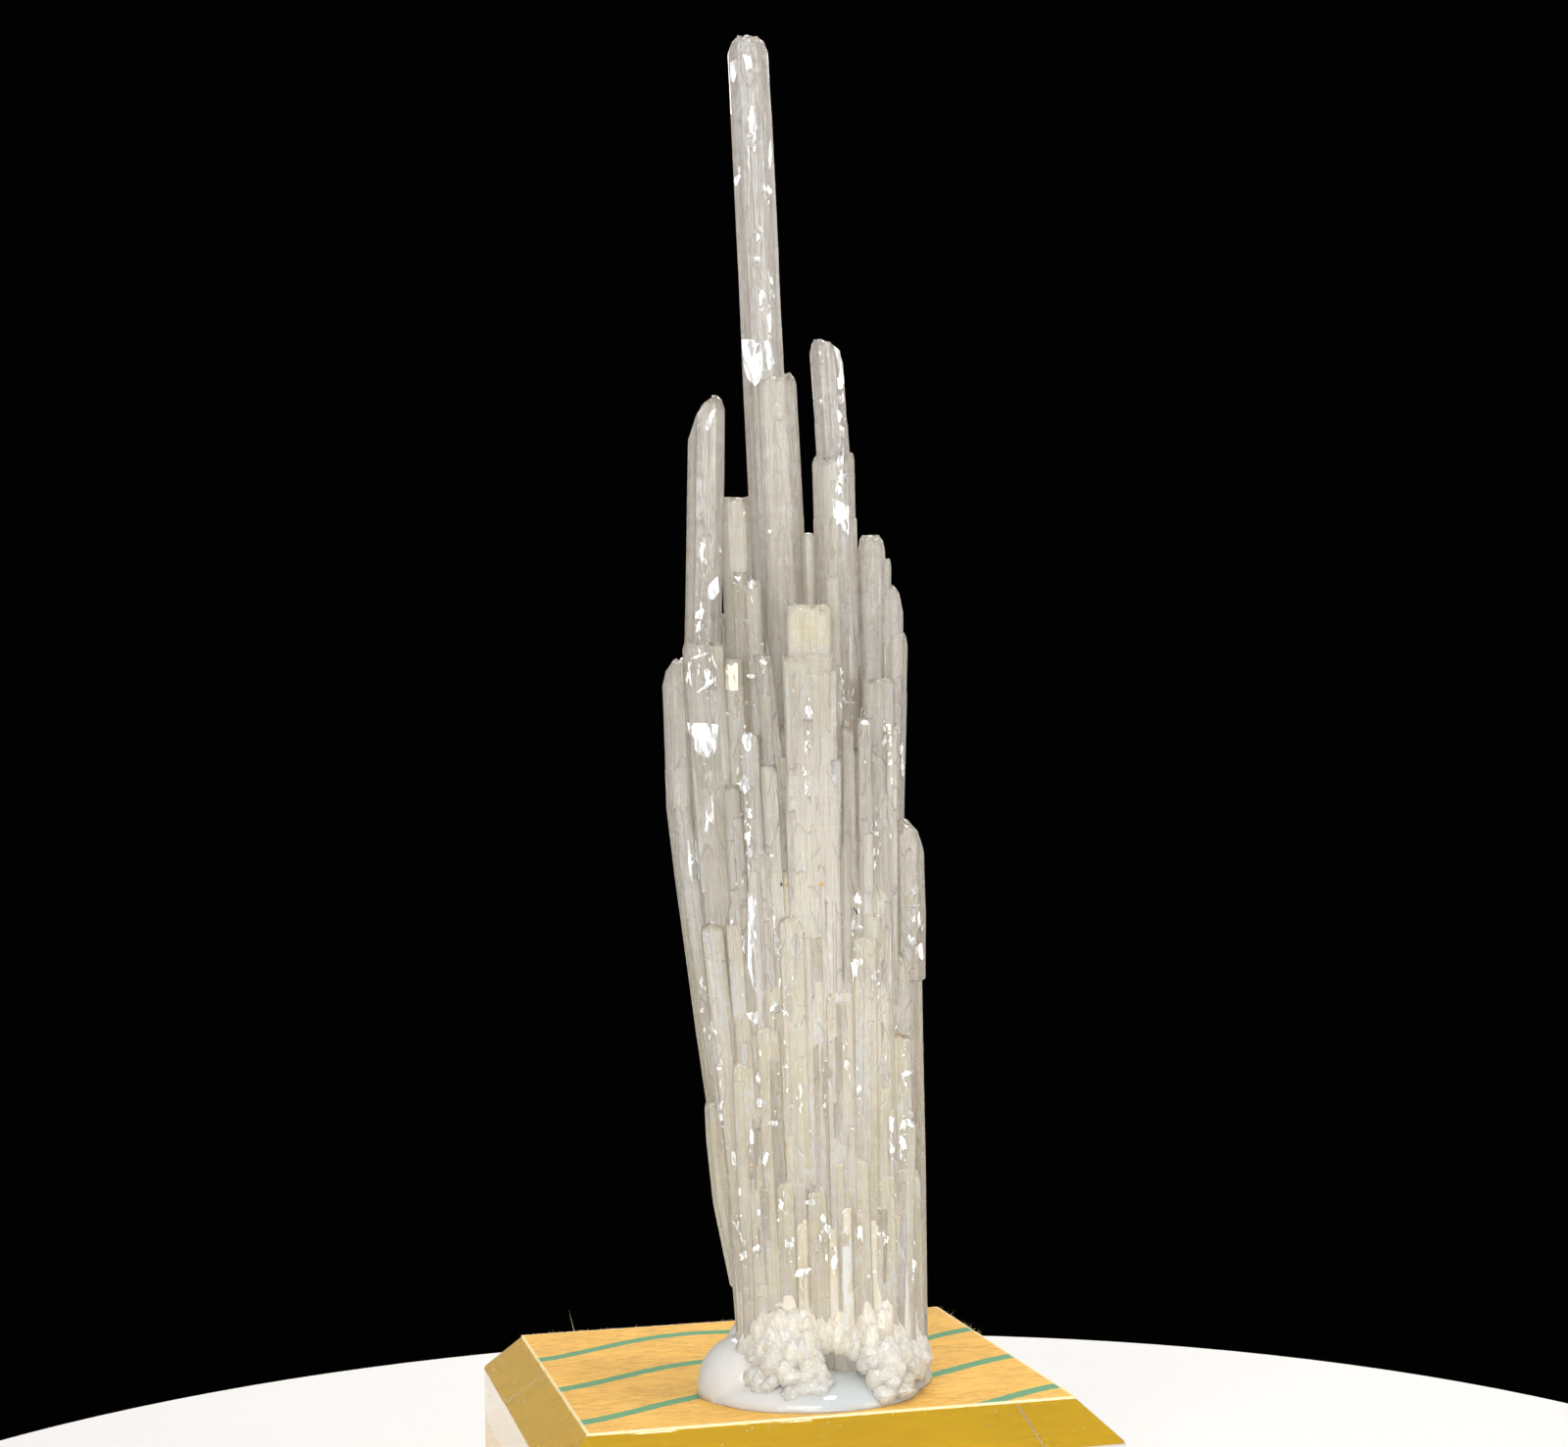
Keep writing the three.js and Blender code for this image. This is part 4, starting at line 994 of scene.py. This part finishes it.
def striation_group():
    """Lengthwise silky streaks at two widths, thin cross cracks and gathered white flecks. The
    grain runs round the blade and up it, in millimetres."""
    nodes, given, out = new_group(
        "Striation",
        [("Grain", "Vector", None), ("Crack share", "Float", 0.5), ("Fleck share", "Float", 0.4)],
        ["Streak", "Crack", "Fleck", "Height"])
    grain = given["Grain"]
    broad = nodes.noise(grain, (1.1, 0.035, 1))
    middling = nodes.noise(grain, (2.6, 0.14, 1))
    fine = nodes.noise(grain, (7.0, 0.06, 1), 2.0)
    level = nodes.noise(grain, (0.16, 1.1, 1), 4.0, 0.65)
    streak = nodes.weighted((broad, 0.34), (middling, 0.28), (fine, 0.16), (level, 0.22))
    bend = nodes.noise(grain, (0.45, 0.05, 1), 1.0)
    near = nodes.from_middle(nodes.weighted((nodes.apart(grain)[1], 0.33), (bend, 5.0)))
    part = nodes.noise(grain, (0.9, 0.22, 1), 1.0)
    crack = nodes.math("MULTIPLY", nodes.band(near, 0.0, 0.07, 1.0, 0.0),
                       nodes.band(part, 0.50, 0.58))
    crack = nodes.math("MULTIPLY", crack, given["Crack share"])
    speck = nodes.weighted((nodes.noise(grain, (1.6, 0.8, 1), 4.0, 0.7), 1.0),
                           (nodes.noise(grain, (0.55, 0.07, 1), 2.0), 0.9))
    results = {
        "Streak": nodes.band(streak, 0.40, 0.60),
        "Crack": crack,
        "Fleck": nodes.math("MULTIPLY", nodes.band(speck, 1.04, 1.12), given["Fleck share"]),
        "Height": nodes.weighted((middling, 1.0), (broad, 0.9), (fine, 0.3), (crack, -0.8)),
    }
    for label, socket in results.items():
        nodes.tree.links.new(socket, out.inputs[label])
    return nodes.tree


def new_material(name):
    material = bpy.data.materials.new(name)
    material.use_nodes = True
    material.node_tree.nodes.clear()
    return material, Nodes(material.node_tree)


def crystal_material(name, group, settings, transmission, roughness, contrast, cracks, flecks,
                     absorbed, density, brightness, soft):
    """One finish of the crystal: cool to warm by the blade's own warmth, darker and lighter by its
    streaks, whiter on cracks and flecks, with painted rim light whitening skin seen edge-on, over
    plain transmission and absorption."""
    material, nodes = new_material(name)
    grain = nodes.add("ShaderNodeUVMap", uv_map="grain").outputs[0]
    warmth = nodes.add("ShaderNodeAttribute", attribute_name="warmth").outputs["Fac"]
    marks = nodes.add("ShaderNodeGroup", {}, node_tree=group)
    nodes.tree.links.new(grain, marks.inputs["Grain"])
    marks.inputs["Crack share"].default_value = cracks
    marks.inputs["Fleck share"].default_value = flecks
    tint = nodes.mix(warmth, rgba(settings.cool, brightness), rgba(settings.warm))
    light = nodes.mix(0.45, tint, (0.97, 0.94, 0.88, 1))
    dark = nodes.mix(contrast, tint, (0.62, 0.57, 0.53, 1))
    base = nodes.mix(marks.outputs["Streak"], dark, light)
    base = nodes.mix(marks.outputs["Crack"], base, (0.97, 0.96, 0.93, 1))
    base = nodes.mix(marks.outputs["Fleck"], base, (1.0, 1.0, 0.98, 1))
    # painted rim light: skin seen edge-on is whitened
    facing = nodes.add("ShaderNodeLayerWeight", {"Blend": 0.3}).outputs["Facing"]
    base = nodes.mix(nodes.band(facing, 0.3, 0.85, 0.0, 0.85), base, (0.98, 0.96, 0.95, 1))
    rough = nodes.band(marks.outputs["Streak"], 0.0, 1.0, roughness * 0.7, roughness * 1.35)
    nodes.surface(base, {
        "Roughness": rough, "IOR": 1.52, "Transmission Weight": transmission,
        "Subsurface Weight": soft, "Subsurface Radius": (1.0, 0.9, 0.8),
        "Subsurface Scale": SOFT_REACH,
        "Normal": nodes.bump(marks.outputs["Height"], 0.8, 0.00016)}, rgba(absorbed), density)
    return material


def fleck_material(name, tone, clear):
    """Cleavage face, streaked with the crystal's own grey; where it is white, that white is a
    painted reflection, the light it throws back whole.
    """
    material, nodes = new_material(name)
    grain = nodes.noise(nodes.place(), (2200, 2200, 500))
    base = nodes.mix(nodes.band(grain, 0.40, 0.52), rgba(tone, 0.5), rgba(tone))
    nodes.surface(base, {
        "Roughness": nodes.band(grain, 0.3, 0.7, 0.14, 0.30), "IOR": 1.52,
        "Transmission Weight": clear, "Normal": nodes.bump(grain, 0.3, 0.00004)})
    return material


def glue_material(settings):
    """Milky glue: clouded, and bluer under the cluster where it lies in its shade."""
    material, nodes = new_material("hot_melt_glue")
    place = nodes.place()
    base = nodes.mix(nodes.noise(place, 260), rgba(settings.tint, 0.93), rgba(settings.tint))
    shade = nodes.band(nodes.apart(place)[0], -0.007, 0.0, 0.0, 0.8)
    base = nodes.mix(shade, base, (0.66, 0.72, 0.75, 1))
    nodes.surface(base, {
        "Roughness": 0.06, "IOR": 1.49, "Transmission Weight": 0.42, "Subsurface Weight": 0.6,
        "Subsurface Radius": (0.9, 0.95, 1.0), "Subsurface Scale": 0.0015,
        "Normal": nodes.bump(nodes.noise(place, 330, 2), 0.12, 0.0002)},
        (0.88, 0.93, 0.97, 1), 30)
    return material


def plain_paper(name, tone, glow=0.0):
    """Unprinted paper: fine fibres along the sheet, light and dark. Where a glow is given, the
    sheet glows in its own colour: painted light, not a lamp."""
    material, nodes = new_material(name)
    fibre = nodes.noise(nodes.place(), (300, 1500, 1500), 4, 0.6)
    base = nodes.mix(nodes.band(fibre, 0.35, 0.7), rgba(tone, 0.88), rgba(tone))
    nodes.surface(base, {"Roughness": 0.8, "Specular IOR Level": 0.1, "Emission Color": base,
                         "Emission Strength": glow})
    return material


def printed_paper(settings, half):
    """Kraft paper with darker and lighter fibres, plain wavy stripes and a pale cut edge."""
    material, nodes = new_material("kraft_paper")
    place = nodes.place()
    fibre = nodes.noise(place, (500, 3000, 1500), 5, 0.65)
    hair = nodes.noise(place, (1500, 9000, 1500), 3, 0.6)
    cloud = nodes.noise(place, 160)
    kraft = settings.kraft
    base = nodes.mix(nodes.band(fibre, 0.36, 0.62), rgba(kraft, 0.66), rgba(kraft))
    base = nodes.mix(nodes.band(hair, 0.52, 0.68, 0, 0.6), base, rgba(kraft, 1.4, 1))
    base = nodes.mix(nodes.band(cloud, 0.4, 0.75, 0, 0.35), base, rgba(kraft, 1.3, 1))
    x, y, _ = nodes.apart(place)
    wave = nodes.math("SINE", nodes.math("MULTIPLY", x, 2 * math.pi / STRIPE_WAVE))
    line = nodes.weighted((y, 1.0), (wave, STRIPE_SWING), (x, STRIPE_LEAN))
    near = nodes.from_middle(nodes.math("ADD", nodes.math("DIVIDE", line, STRIPE_STEP), 0.3))
    ragged = nodes.weighted((near, 1.0), (fibre, 0.02))
    ink = nodes.math("MULTIPLY", nodes.band(ragged, 0.074, 0.082, 1.0, 0.0),
                     nodes.band(hair, 0.30, 0.45, 0.72, 0.95))
    base = nodes.mix(ink, base, rgba(settings.ink))
    rim = nodes.math("MAXIMUM", nodes.math("ABSOLUTE", x), nodes.math("ABSOLUTE", y))
    rim = nodes.band(rim, half - 0.00035, half - 0.0001, 0.0, 0.75)
    base = nodes.mix(rim, base, (0.92, 0.80, 0.52, 1))
    nodes.surface(base, {"Roughness": 0.86, "Normal": nodes.bump(fibre, 0.6, 0.00008)})
    return material


def acrylic_material(settings):
    """Clear acrylic with wipe marks and a few fine scratches."""
    material, nodes = new_material("clear_acrylic")
    place = nodes.place()
    wipe = nodes.noise(place, (140, 140, 900), 4, 0.65)
    lines = nodes.noise(place, (2400, 260, 1900), 3, 0.7)
    scratch = nodes.math("MULTIPLY", nodes.band(lines, 0.60, 0.66),
                         nodes.band(nodes.noise(place, 170, 2), 0.50, 0.62))
    smear = nodes.band(wipe, 0.48, 0.72, 0.012, 0.10)
    height = nodes.weighted((wipe, 1.0), (scratch, -2.5))
    nodes.surface((1, 1, 1, 1), {
        "Roughness": nodes.weighted((smear, 1.0), (scratch, 0.35)), "IOR": 1.49,
        "Transmission Weight": 1.0, "Normal": nodes.bump(height, 0.10, 0.00006)},
        rgba(settings.tint), 6)
    return material


# ---- operators ----

class BuildCrystals(bpy.types.Operator):
    """Joins all the striated blades into the cluster that stands for its plain solid"""
    bl_idname = "selenite.crystals"
    bl_label = "Crystal cluster"

    def execute(self, context):
        settings = context.scene.selenite_crystals
        group = striation_group()
        materials = [crystal_material(f"selenite_{name}", group, settings, *look)
                     for name, look in CRYSTAL_LOOKS.items()]
        rng = np.random.default_rng(settings.seed)
        blades = BLADES + grown_laths(settings.laths, rng)
        arrays = [blade_arrays(blade, settings, rng) for blade in blades]
        arrays += foot_lumps(settings.lumps, rng)
        objects = [blade_object(number, parts, materials) for number, parts in enumerate(arrays)]
        mesh = joined_skin(objects, "selenite_blades")
        keep_outer_skin(mesh)
        points = np.zeros(len(mesh.vertices) * 3)
        mesh.vertices.foreach_get("co", points)
        mesh.vertices.foreach_set("co", to_row(points.reshape(-1, 3)).ravel())
        mesh.shade_flat()
        mesh.update()
        piece = put_piece("selenite_blades", mesh, "selenite")
        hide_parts("selenite_cluster")
        return {"FINISHED"}


class BuildFlecks(bpy.types.Operator):
    """Sets cleavage faces and flecks, white with painted reflection, and stains and specks on the
    skin of the blades
    """
    bl_idname = "selenite.flecks"
    bl_label = "Cleavage flecks"

    def execute(self, context):
        settings = context.scene.selenite_flecks
        rng = np.random.default_rng(settings.seed)
        points, faces, slots, start = [], [], [], 0
        for outlines, tones, side, whole in self.lots(settings, rng):
            got, quads, fans, kept = plates_on_skin(outlines, side, settings.lift / MM, rng, whole)
            points.append(got)
            for part in (quads, fans):
                faces += (part.reshape(-1, part.shape[-1]) + start).tolist()
                slots.append(tones[kept].repeat(part.shape[1]))
            start += len(got)
        mesh = put_mesh("cleavage_flecks", to_row(np.concatenate(points)), faces)
        materials = [fleck_material(f"selenite_{name}", *look)
                     for name, look in CHIP_LOOKS.items()]
        put_piece("cleavage_flecks", mesh, "selenite", *materials)
        mesh.polygons.foreach_set("material_index", np.concatenate(slots).astype(np.int32))
        mesh.update()
        return {"FINISHED"}

    def lots(self, settings, rng):
        """Lots of outlines with their tones, side, and whether the whole rim must be on skin:
        the chips, the flecks, crumbs gathered up and down round each fleck, and small scattered
        flecks, of which some on the back are much larger."""
        chips = np.array([even_outline(corners, FLECK_CORNERS) for _, corners in CHIPS])
        tones = np.array([TONES.index(tone) for tone, _ in CHIPS])
        crumbs = np.repeat(FLECKS, CRUMBS, 0)
        crumbs[:, :2] += rng.normal(0, CRUMB_SPREAD, (len(crumbs), 2))
        crumbs[:, 2:4] = rng.uniform(*CRUMB_HALVES, (len(crumbs), 2))
        crumbs[:, 4] = rng.uniform(-CRUMB_LEAN, CRUMB_LEAN, len(crumbs))
        lots = [(chips, tones, FRONT, False)]
        # the flecks and crumbs take the white tone: painted glints
        for spots, whole in ((FLECKS, False), (crumbs, True)):
            lots.append((ragged_outlines(spots, FLECK_CORNERS, rng), np.zeros(len(spots), int),
                         FRONT, whole))
        for side, low, high in SCATTERED:
            least, most = SCATTER_SHAPES
            spots = rng.uniform((*low, *least), (*high, *most), (settings.scattered, 5))
            if side == BACK:
                spots[::3, 2:4] *= rng.uniform(1.2, 3.5, (len(spots[::3]), 1))
                spots[::9, 3] *= rng.uniform(2, 4, len(spots[::9]))
            # most scattered flecks are white, as painted glints; the rest are cream
            tones = np.where(rng.random(len(spots)) < SCATTER_CREAM, 1, 0)
            lots.append((ragged_outlines(spots, FLECK_CORNERS, rng), tones, side, True))
        return lots


def lobe_outline(angles):
    """Distance to the glue's edge in each direction from its middle: the farthest of the lobes'
    ellipses along the ray, then smoothed round."""
    half = GLUE_LOBES[:, 2:4]
    along = np.stack([np.cos(angles), np.sin(angles)], -1)
    offset = GLUE_MIDDLE - GLUE_LOBES[:, :2]
    a = ((along[:, None] / half) ** 2).sum(-1)
    b = 2 * (along[:, None] * offset / half ** 2).sum(-1)
    c = ((offset / half) ** 2).sum(-1) - 1
    inside = b * b - 4 * a * c
    far = np.where(inside > 0, (-b + np.sqrt(np.maximum(inside, 0))) / (2 * a), 0).max(1)
    kernel = np.hanning(9)
    kernel /= kernel.sum()
    return np.convolve(np.concatenate([far[-4:], far, far[:4]]), kernel, "valid")


class BuildGlue(bpy.types.Operator):
    """Pours the smooth lump of glue round the cluster's foot"""
    bl_idname = "selenite.glue"
    bl_label = "Glue"

    def execute(self, context):
        columns, rows = 144, 34
        angles = np.linspace(0, 2 * math.pi, columns, endpoint=False)
        # profile from the edge under the lump, round its bulge, to the middle of its top
        turn = np.linspace(-0.22, math.pi / 2, rows)[:, None]
        radius = np.cos(turn) ** 0.82 * lobe_outline(angles)
        flat = np.stack([GLUE_MIDDLE[0] + radius * np.cos(angles),
                         GLUE_MIDDLE[1] + radius * np.sin(angles)], -1)
        # each lobe is a dome; the sixth-power mean joins them without a crease
        reach = (((flat[:, :, None] - GLUE_LOBES[:, :2]) / GLUE_LOBES[:, 2:4]) ** 2).sum(-1)
        dome = GLUE_LOBES[:, 4] * np.clip(1 - reach ** 1.1, 0, 1) ** 0.45
        height = (dome ** 6).sum(-1) ** (1 / 6) * (turn > 0)
        points = np.concatenate([flat, height[..., None]], -1).reshape(-1, 3)
        ends = [[*GLUE_MIDDLE, 0.0], [*GLUE_MIDDLE, float(height[-1].mean())]]
        mesh = put_mesh("glue", to_row(np.concatenate([points, ends])),
                        closed_faces(rows, columns, inward=True), smooth=True)
        piece = put_piece("glue", mesh, "glue", glue_material(context.scene.selenite_glue))
        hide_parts("glue_lump")
        return {"FINISHED"}


class BuildPaper(bpy.types.Operator):
    """Lays the kraft masking paper on the block, with its fibres and printed stripes"""
    bl_idname = "selenite.paper"
    bl_label = "Masking paper"

    def execute(self, context):
        settings = context.scene.selenite_paper
        low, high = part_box("masking_paper")
        half = (high.x - low.x) / 2
        self.lay_sheet(settings, half, low.z, high.z)
        self.lay_fuzz(settings, half, high.z)
        self.lay_underside(settings)
        return {"FINISHED"}

    def lay_sheet(self, settings, half, bottom, level):
        """A sheet of square cells; its rim wanders by less than 0.1 mm and its face is rough."""
        number = PAPER_CELLS
        rng = np.random.default_rng(3)
        line = np.linspace(-1, 1, number)
        x, y = np.meshgrid(line, line, indexing="ij")
        rough = RIM_WANDER * rng.random((2, number))
        x = x * (half - np.where(np.abs(x) > 0.5, rough[0][None, :], 0))
        y = y * (half - np.where(np.abs(y) > 0.5, rough[1][:, None], 0))
        top = np.stack([x, y, level - FACE_WANDER * rng.random(x.shape)], -1).reshape(-1, 3)
        under = top.copy()
        under[:, 2] = bottom - FACE_WANDER
        index = np.arange(number ** 2).reshape(number, number)
        ring = np.concatenate([index[:-1, 0], index[-1, :-1], index[:0:-1, -1], index[0, :0:-1]])
        after = np.roll(ring, -1)
        sides = np.stack([ring, ring + number ** 2, after + number ** 2, after], -1)
        cells = np.array(grid_faces(number, number, False))
        faces = [*cells[:, ::-1].tolist(), *(cells + number ** 2).tolist(), *sides.tolist()]
        mesh = put_mesh("kraft_paper", np.concatenate([top, under]), faces)
        piece = put_piece("kraft_paper", mesh, "paper", printed_paper(settings, half),
                          plain_paper("kraft_paper_back", (0.90, 0.80, 0.56)))
        below = np.repeat([0, 1, 0], [len(cells), len(cells), len(sides)]).astype(np.int32)
        mesh.polygons.foreach_set("material_index", below)
        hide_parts("masking_paper")

    def lay_fuzz(self, settings, half, level):
        """Loose fibres along the cut edges: thin three-sided horns that bend upward."""
        rng = np.random.default_rng(11)
        side = np.arange(settings.fibres) % 4
        along = rng.uniform(-0.98, 0.98, settings.fibres) * half
        reach = MM * rng.uniform(0.15, 0.55, settings.fibres)
        reach[::12] *= 1.8
        outward = np.stack([np.cos(side * math.pi / 2), np.sin(side * math.pi / 2)], -1)
        sideways = np.stack([-outward[:, 1], outward[:, 0]], -1)
        root = outward * (half - 0.00008) + sideways * along[:, None]
        root = np.concatenate([root, LONG_FIBRES[:, :2] * MM])
        reach = np.concatenate([reach, LONG_FIBRES[:, 2] * MM])
        outward = np.concatenate([outward, [(0, 1)] * len(LONG_FIBRES)])
        sideways = np.concatenate([sideways, [(-1, 0)] * len(LONG_FIBRES)])
        number, rows, columns = len(reach), 6, 3
        lean = rng.uniform(-0.9, 0.9, (number, 1))
        lift = rng.uniform(0.15, 0.7, number)
        lift[-len(LONG_FIBRES):] = 2.4
        share = np.linspace(0, 1, rows)
        bend = share ** 1.7
        way = outward[:, None] * (share[None, :, None] * (1 - 0.3 * bend[None, :, None]))
        way = way + sideways[:, None] * (lean[:, None] * bend[None, :, None])
        flat = root[:, None] + way * reach[:, None, None] * 0.8
        rise = level - 0.00005 + reach[:, None] * lift[:, None] * bend[None]
        turn = np.arange(columns) * 2 * math.pi / columns
        girth = FIBRE_RADIUS * (1 - 0.75 * share)[None, :, None]
        ring = sideways[:, None, None] * (np.cos(turn) * girth)[..., None]
        points = np.concatenate([flat[:, :, None] + ring,
                                 rise[:, :, None, None] + (np.sin(turn) * girth)[..., None]], -1)
        start = (np.arange(number) * rows * columns)[:, None, None]
        last = rows * columns - columns
        faces = (start + np.array(grid_faces(rows, columns, inward=True))).reshape(-1, 4).tolist()
        faces += (start + [[1, 2, 0], [last + 2, last + 1, last]]).reshape(-1, 3).tolist()
        mesh = put_mesh("paper_fibres", points, faces)
        put_piece("paper_fibres", mesh, "paper", plain_paper("loose_fibre", (0.86, 0.74, 0.50)))

    def lay_underside(self, settings):
        """A flat sheet of one cell, out to the block's edges."""
        low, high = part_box("underside_paper")
        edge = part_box("acrylic_block")[1].x - FACE_WANDER
        sheet = [(*(corner * edge), z) for z in (high.z + FACE_WANDER, low.z) for corner in SQUARE]
        faces = [[0, 1, 2, 3], [7, 6, 5, 4]] + grid_faces(2, 4)
        mesh = put_mesh("lower_kraft_paper", sheet, faces)
        # the lower sheet glows a little: painted light that brightens it
        material = plain_paper("lower_kraft_paper", settings.lower, 0.2)
        piece = put_piece("lower_kraft_paper", mesh, "paper", material)
        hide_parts("underside_paper")


class BuildBlock(bpy.types.Operator):
    """Makes the bevelled acrylic block with polished arrises"""
    bl_idname = "selenite.block"
    bl_label = "Acrylic block"

    def execute(self, context):
        settings = context.scene.selenite_block
        low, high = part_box("acrylic_block")
        outer, inner = high.x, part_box("masking_paper")[1].x
        levels = [(outer, low.z), (outer, high.z - (outer - inner)), (inner, high.z)]
        points = [(*(corner * half), z) for half, z in levels for corner in SQUARE]
        faces = [[3, 2, 1, 0], [8, 9, 10, 11]] + grid_faces(3, 4, inward=True)
        mesh = put_mesh("acrylic", points, faces)
        piece = put_piece("acrylic", mesh, "acrylic", acrylic_material(settings))
        bevel = piece.modifiers.new("arris", "BEVEL")
        bevel.width = settings.arris
        bevel.segments = 3
        bevel.limit_method = "ANGLE"
        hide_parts("acrylic_block")
        return {"FINISHED"}


# ---- stage ----

def camera_matrix():
    """Looks along yaw and pitch, level, then rolls about the line of sight."""
    yaw, pitch, roll = (math.radians(a) for a in (CAMERA_YAW, CAMERA_PITCH, CAMERA_ROLL))
    ahead = Vector((-math.sin(yaw) * math.cos(pitch), math.cos(yaw) * math.cos(pitch),
                    math.sin(pitch)))
    right = Vector((math.cos(yaw), math.sin(yaw), 0))
    up = right.cross(ahead)
    across = math.cos(roll) * right + math.sin(roll) * up
    above = -math.sin(roll) * right + math.cos(roll) * up
    turn = Matrix((across, above, -ahead)).transposed().to_4x4()
    return Matrix.Translation(Vector(CAMERA_PLACE) * MM) @ turn


def soft_light(name, place, aim, size, power, tint):
    data = bpy.data.lights.new(name, "AREA")
    data.shape = "RECTANGLE"
    data.size, data.size_y = size
    data.energy = power
    data.color = tint
    light = bpy.data.objects.new(name, data)
    light.location = place
    light.rotation_euler = (Vector(aim) - Vector(place)).to_track_quat("-Z", "Y").to_euler()
    light.visible_camera = False
    light.visible_transmission = False
    bpy.context.scene.collection.objects.link(light)


class BuildStage(bpy.types.Operator):
    """Sets the round pale floor, the soft lights, the dark surround and the camera"""
    bl_idname = "selenite.stage"
    bl_label = "Stage"

    def execute(self, context):
        self.lay_floor(context.scene)
        self.set_surround(context.scene)
        for name, light in LIGHTS.items():
            soft_light(name, *light)
        self.set_camera(context.scene)
        return {"FINISHED"}

    def lay_floor(self, scene):
        """A thin disc with a fine arris, just under the block."""
        settings = scene.selenite_stage
        columns = 128
        angles = np.linspace(0, 2 * math.pi, columns, endpoint=False)
        radii = np.array([settings.floor_radius, settings.floor_radius - 0.0006, 0.03])[:, None]
        levels = np.array([-0.0008, -0.0002, -0.0002])[:, None]
        points = np.stack([radii * np.cos(angles), radii * np.sin(angles),
                           np.broadcast_to(levels, (3, columns))], -1).reshape(-1, 3)
        points = np.concatenate([points, [[0, 0, levels[0, 0]], [0, 0, levels[-1, 0]]]])
        mesh = put_mesh("floor", points, closed_faces(3, columns, inward=True))
        floor = bpy.data.objects.new("floor", mesh)
        scene.collection.objects.link(floor)
        material, nodes = new_material("pale_floor")
        pale = settings.floor_colour
        base = nodes.mix(nodes.noise(nodes.place(), 40), rgba(pale, 0.96), rgba(pale))
        nodes.surface(base, {"Roughness": 0.7})
        mesh.materials.append(material)

    def set_surround(self, scene):
        """Light from overhead and in front, dark behind the cluster and to the camera."""
        world = bpy.data.worlds.new("surround")
        world.use_nodes = True
        world.node_tree.nodes.clear()
        nodes = Nodes(world.node_tree)
        seen = nodes.add("ShaderNodeLightPath").outputs["Is Camera Ray"]
        ray = nodes.apart(nodes.add("ShaderNodeTexCoord").outputs["Generated"])
        glow = nodes.math("MAXIMUM", nodes.band(ray[1], -0.25, 0.55, 1.0, 0.0),
                          nodes.band(ray[2], 0.15, 0.8, 0.0, 0.7))
        glow = nodes.band(glow, 0.0, 1.0, 0.36, 0.62)
        glow = nodes.math("MULTIPLY", glow, nodes.math("SUBTRACT", 1.0, seen))
        back = nodes.add("ShaderNodeBackground", {
            "Color": (1.0, 0.985, 0.97, 1), "Strength": nodes.math("ADD", glow, 0.0006)})
        shown = nodes.add("ShaderNodeOutputWorld")
        nodes.tree.links.new(back.outputs[0], shown.inputs["Surface"])
        scene.world = world

    def set_camera(self, scene):
        """The photo's own camera: its place, turn and focal length."""
        lens = bpy.data.cameras.new("camera")
        lens.sensor_fit = "HORIZONTAL"
        lens.sensor_width = 36.0
        lens.lens = FOCAL_PIXELS / PHOTO_WIDTH * lens.sensor_width
        lens.clip_start = 0.01
        camera = bpy.data.objects.new("camera", lens)
        camera.matrix_world = camera_matrix()
        scene.collection.objects.link(camera)
        scene.camera = camera
        scene.view_settings.view_transform = "Standard"


class SelenitePanel(bpy.types.Panel):
    """Lists the pieces and their settings"""
    bl_idname = "VIEW3D_PT_selenite"
    bl_label = "Selenite cluster"
    bl_space_type = "VIEW_3D"
    bl_region_type = "UI"
    bl_category = "Selenite"

    def draw(self, context):
        for prefix, _, operator in SECTIONS:
            box = self.layout.box()
            box.operator(operator.bl_idname)
            group = getattr(context.scene, prefix)
            for name in group.__annotations__:
                box.prop(group, name)


SECTIONS = (
    ("selenite_block", BlockSettings, BuildBlock),
    ("selenite_paper", PaperSettings, BuildPaper),
    ("selenite_glue", GlueSettings, BuildGlue),
    ("selenite_crystals", CrystalSettings, BuildCrystals),
    ("selenite_flecks", FleckSettings, BuildFlecks),
    ("selenite_stage", StageSettings, BuildStage),
)


def register():
    for prefix, group, operator in SECTIONS:
        bpy.utils.register_class(group)
        bpy.utils.register_class(operator)
        setattr(bpy.types.Scene, prefix, bpy.props.PointerProperty(type=group))
    bpy.utils.register_class(SelenitePanel)


def unregister():
    bpy.utils.unregister_class(SelenitePanel)
    for prefix, group, operator in reversed(SECTIONS):
        delattr(bpy.types.Scene, prefix)
        bpy.utils.unregister_class(operator)
        bpy.utils.unregister_class(group)


def main():
    register()
    for _, _, operator in SECTIONS:
        space, name = operator.bl_idname.split(".")
        getattr(getattr(bpy.ops, space), name)()


if __name__ == "__main__":
    main()
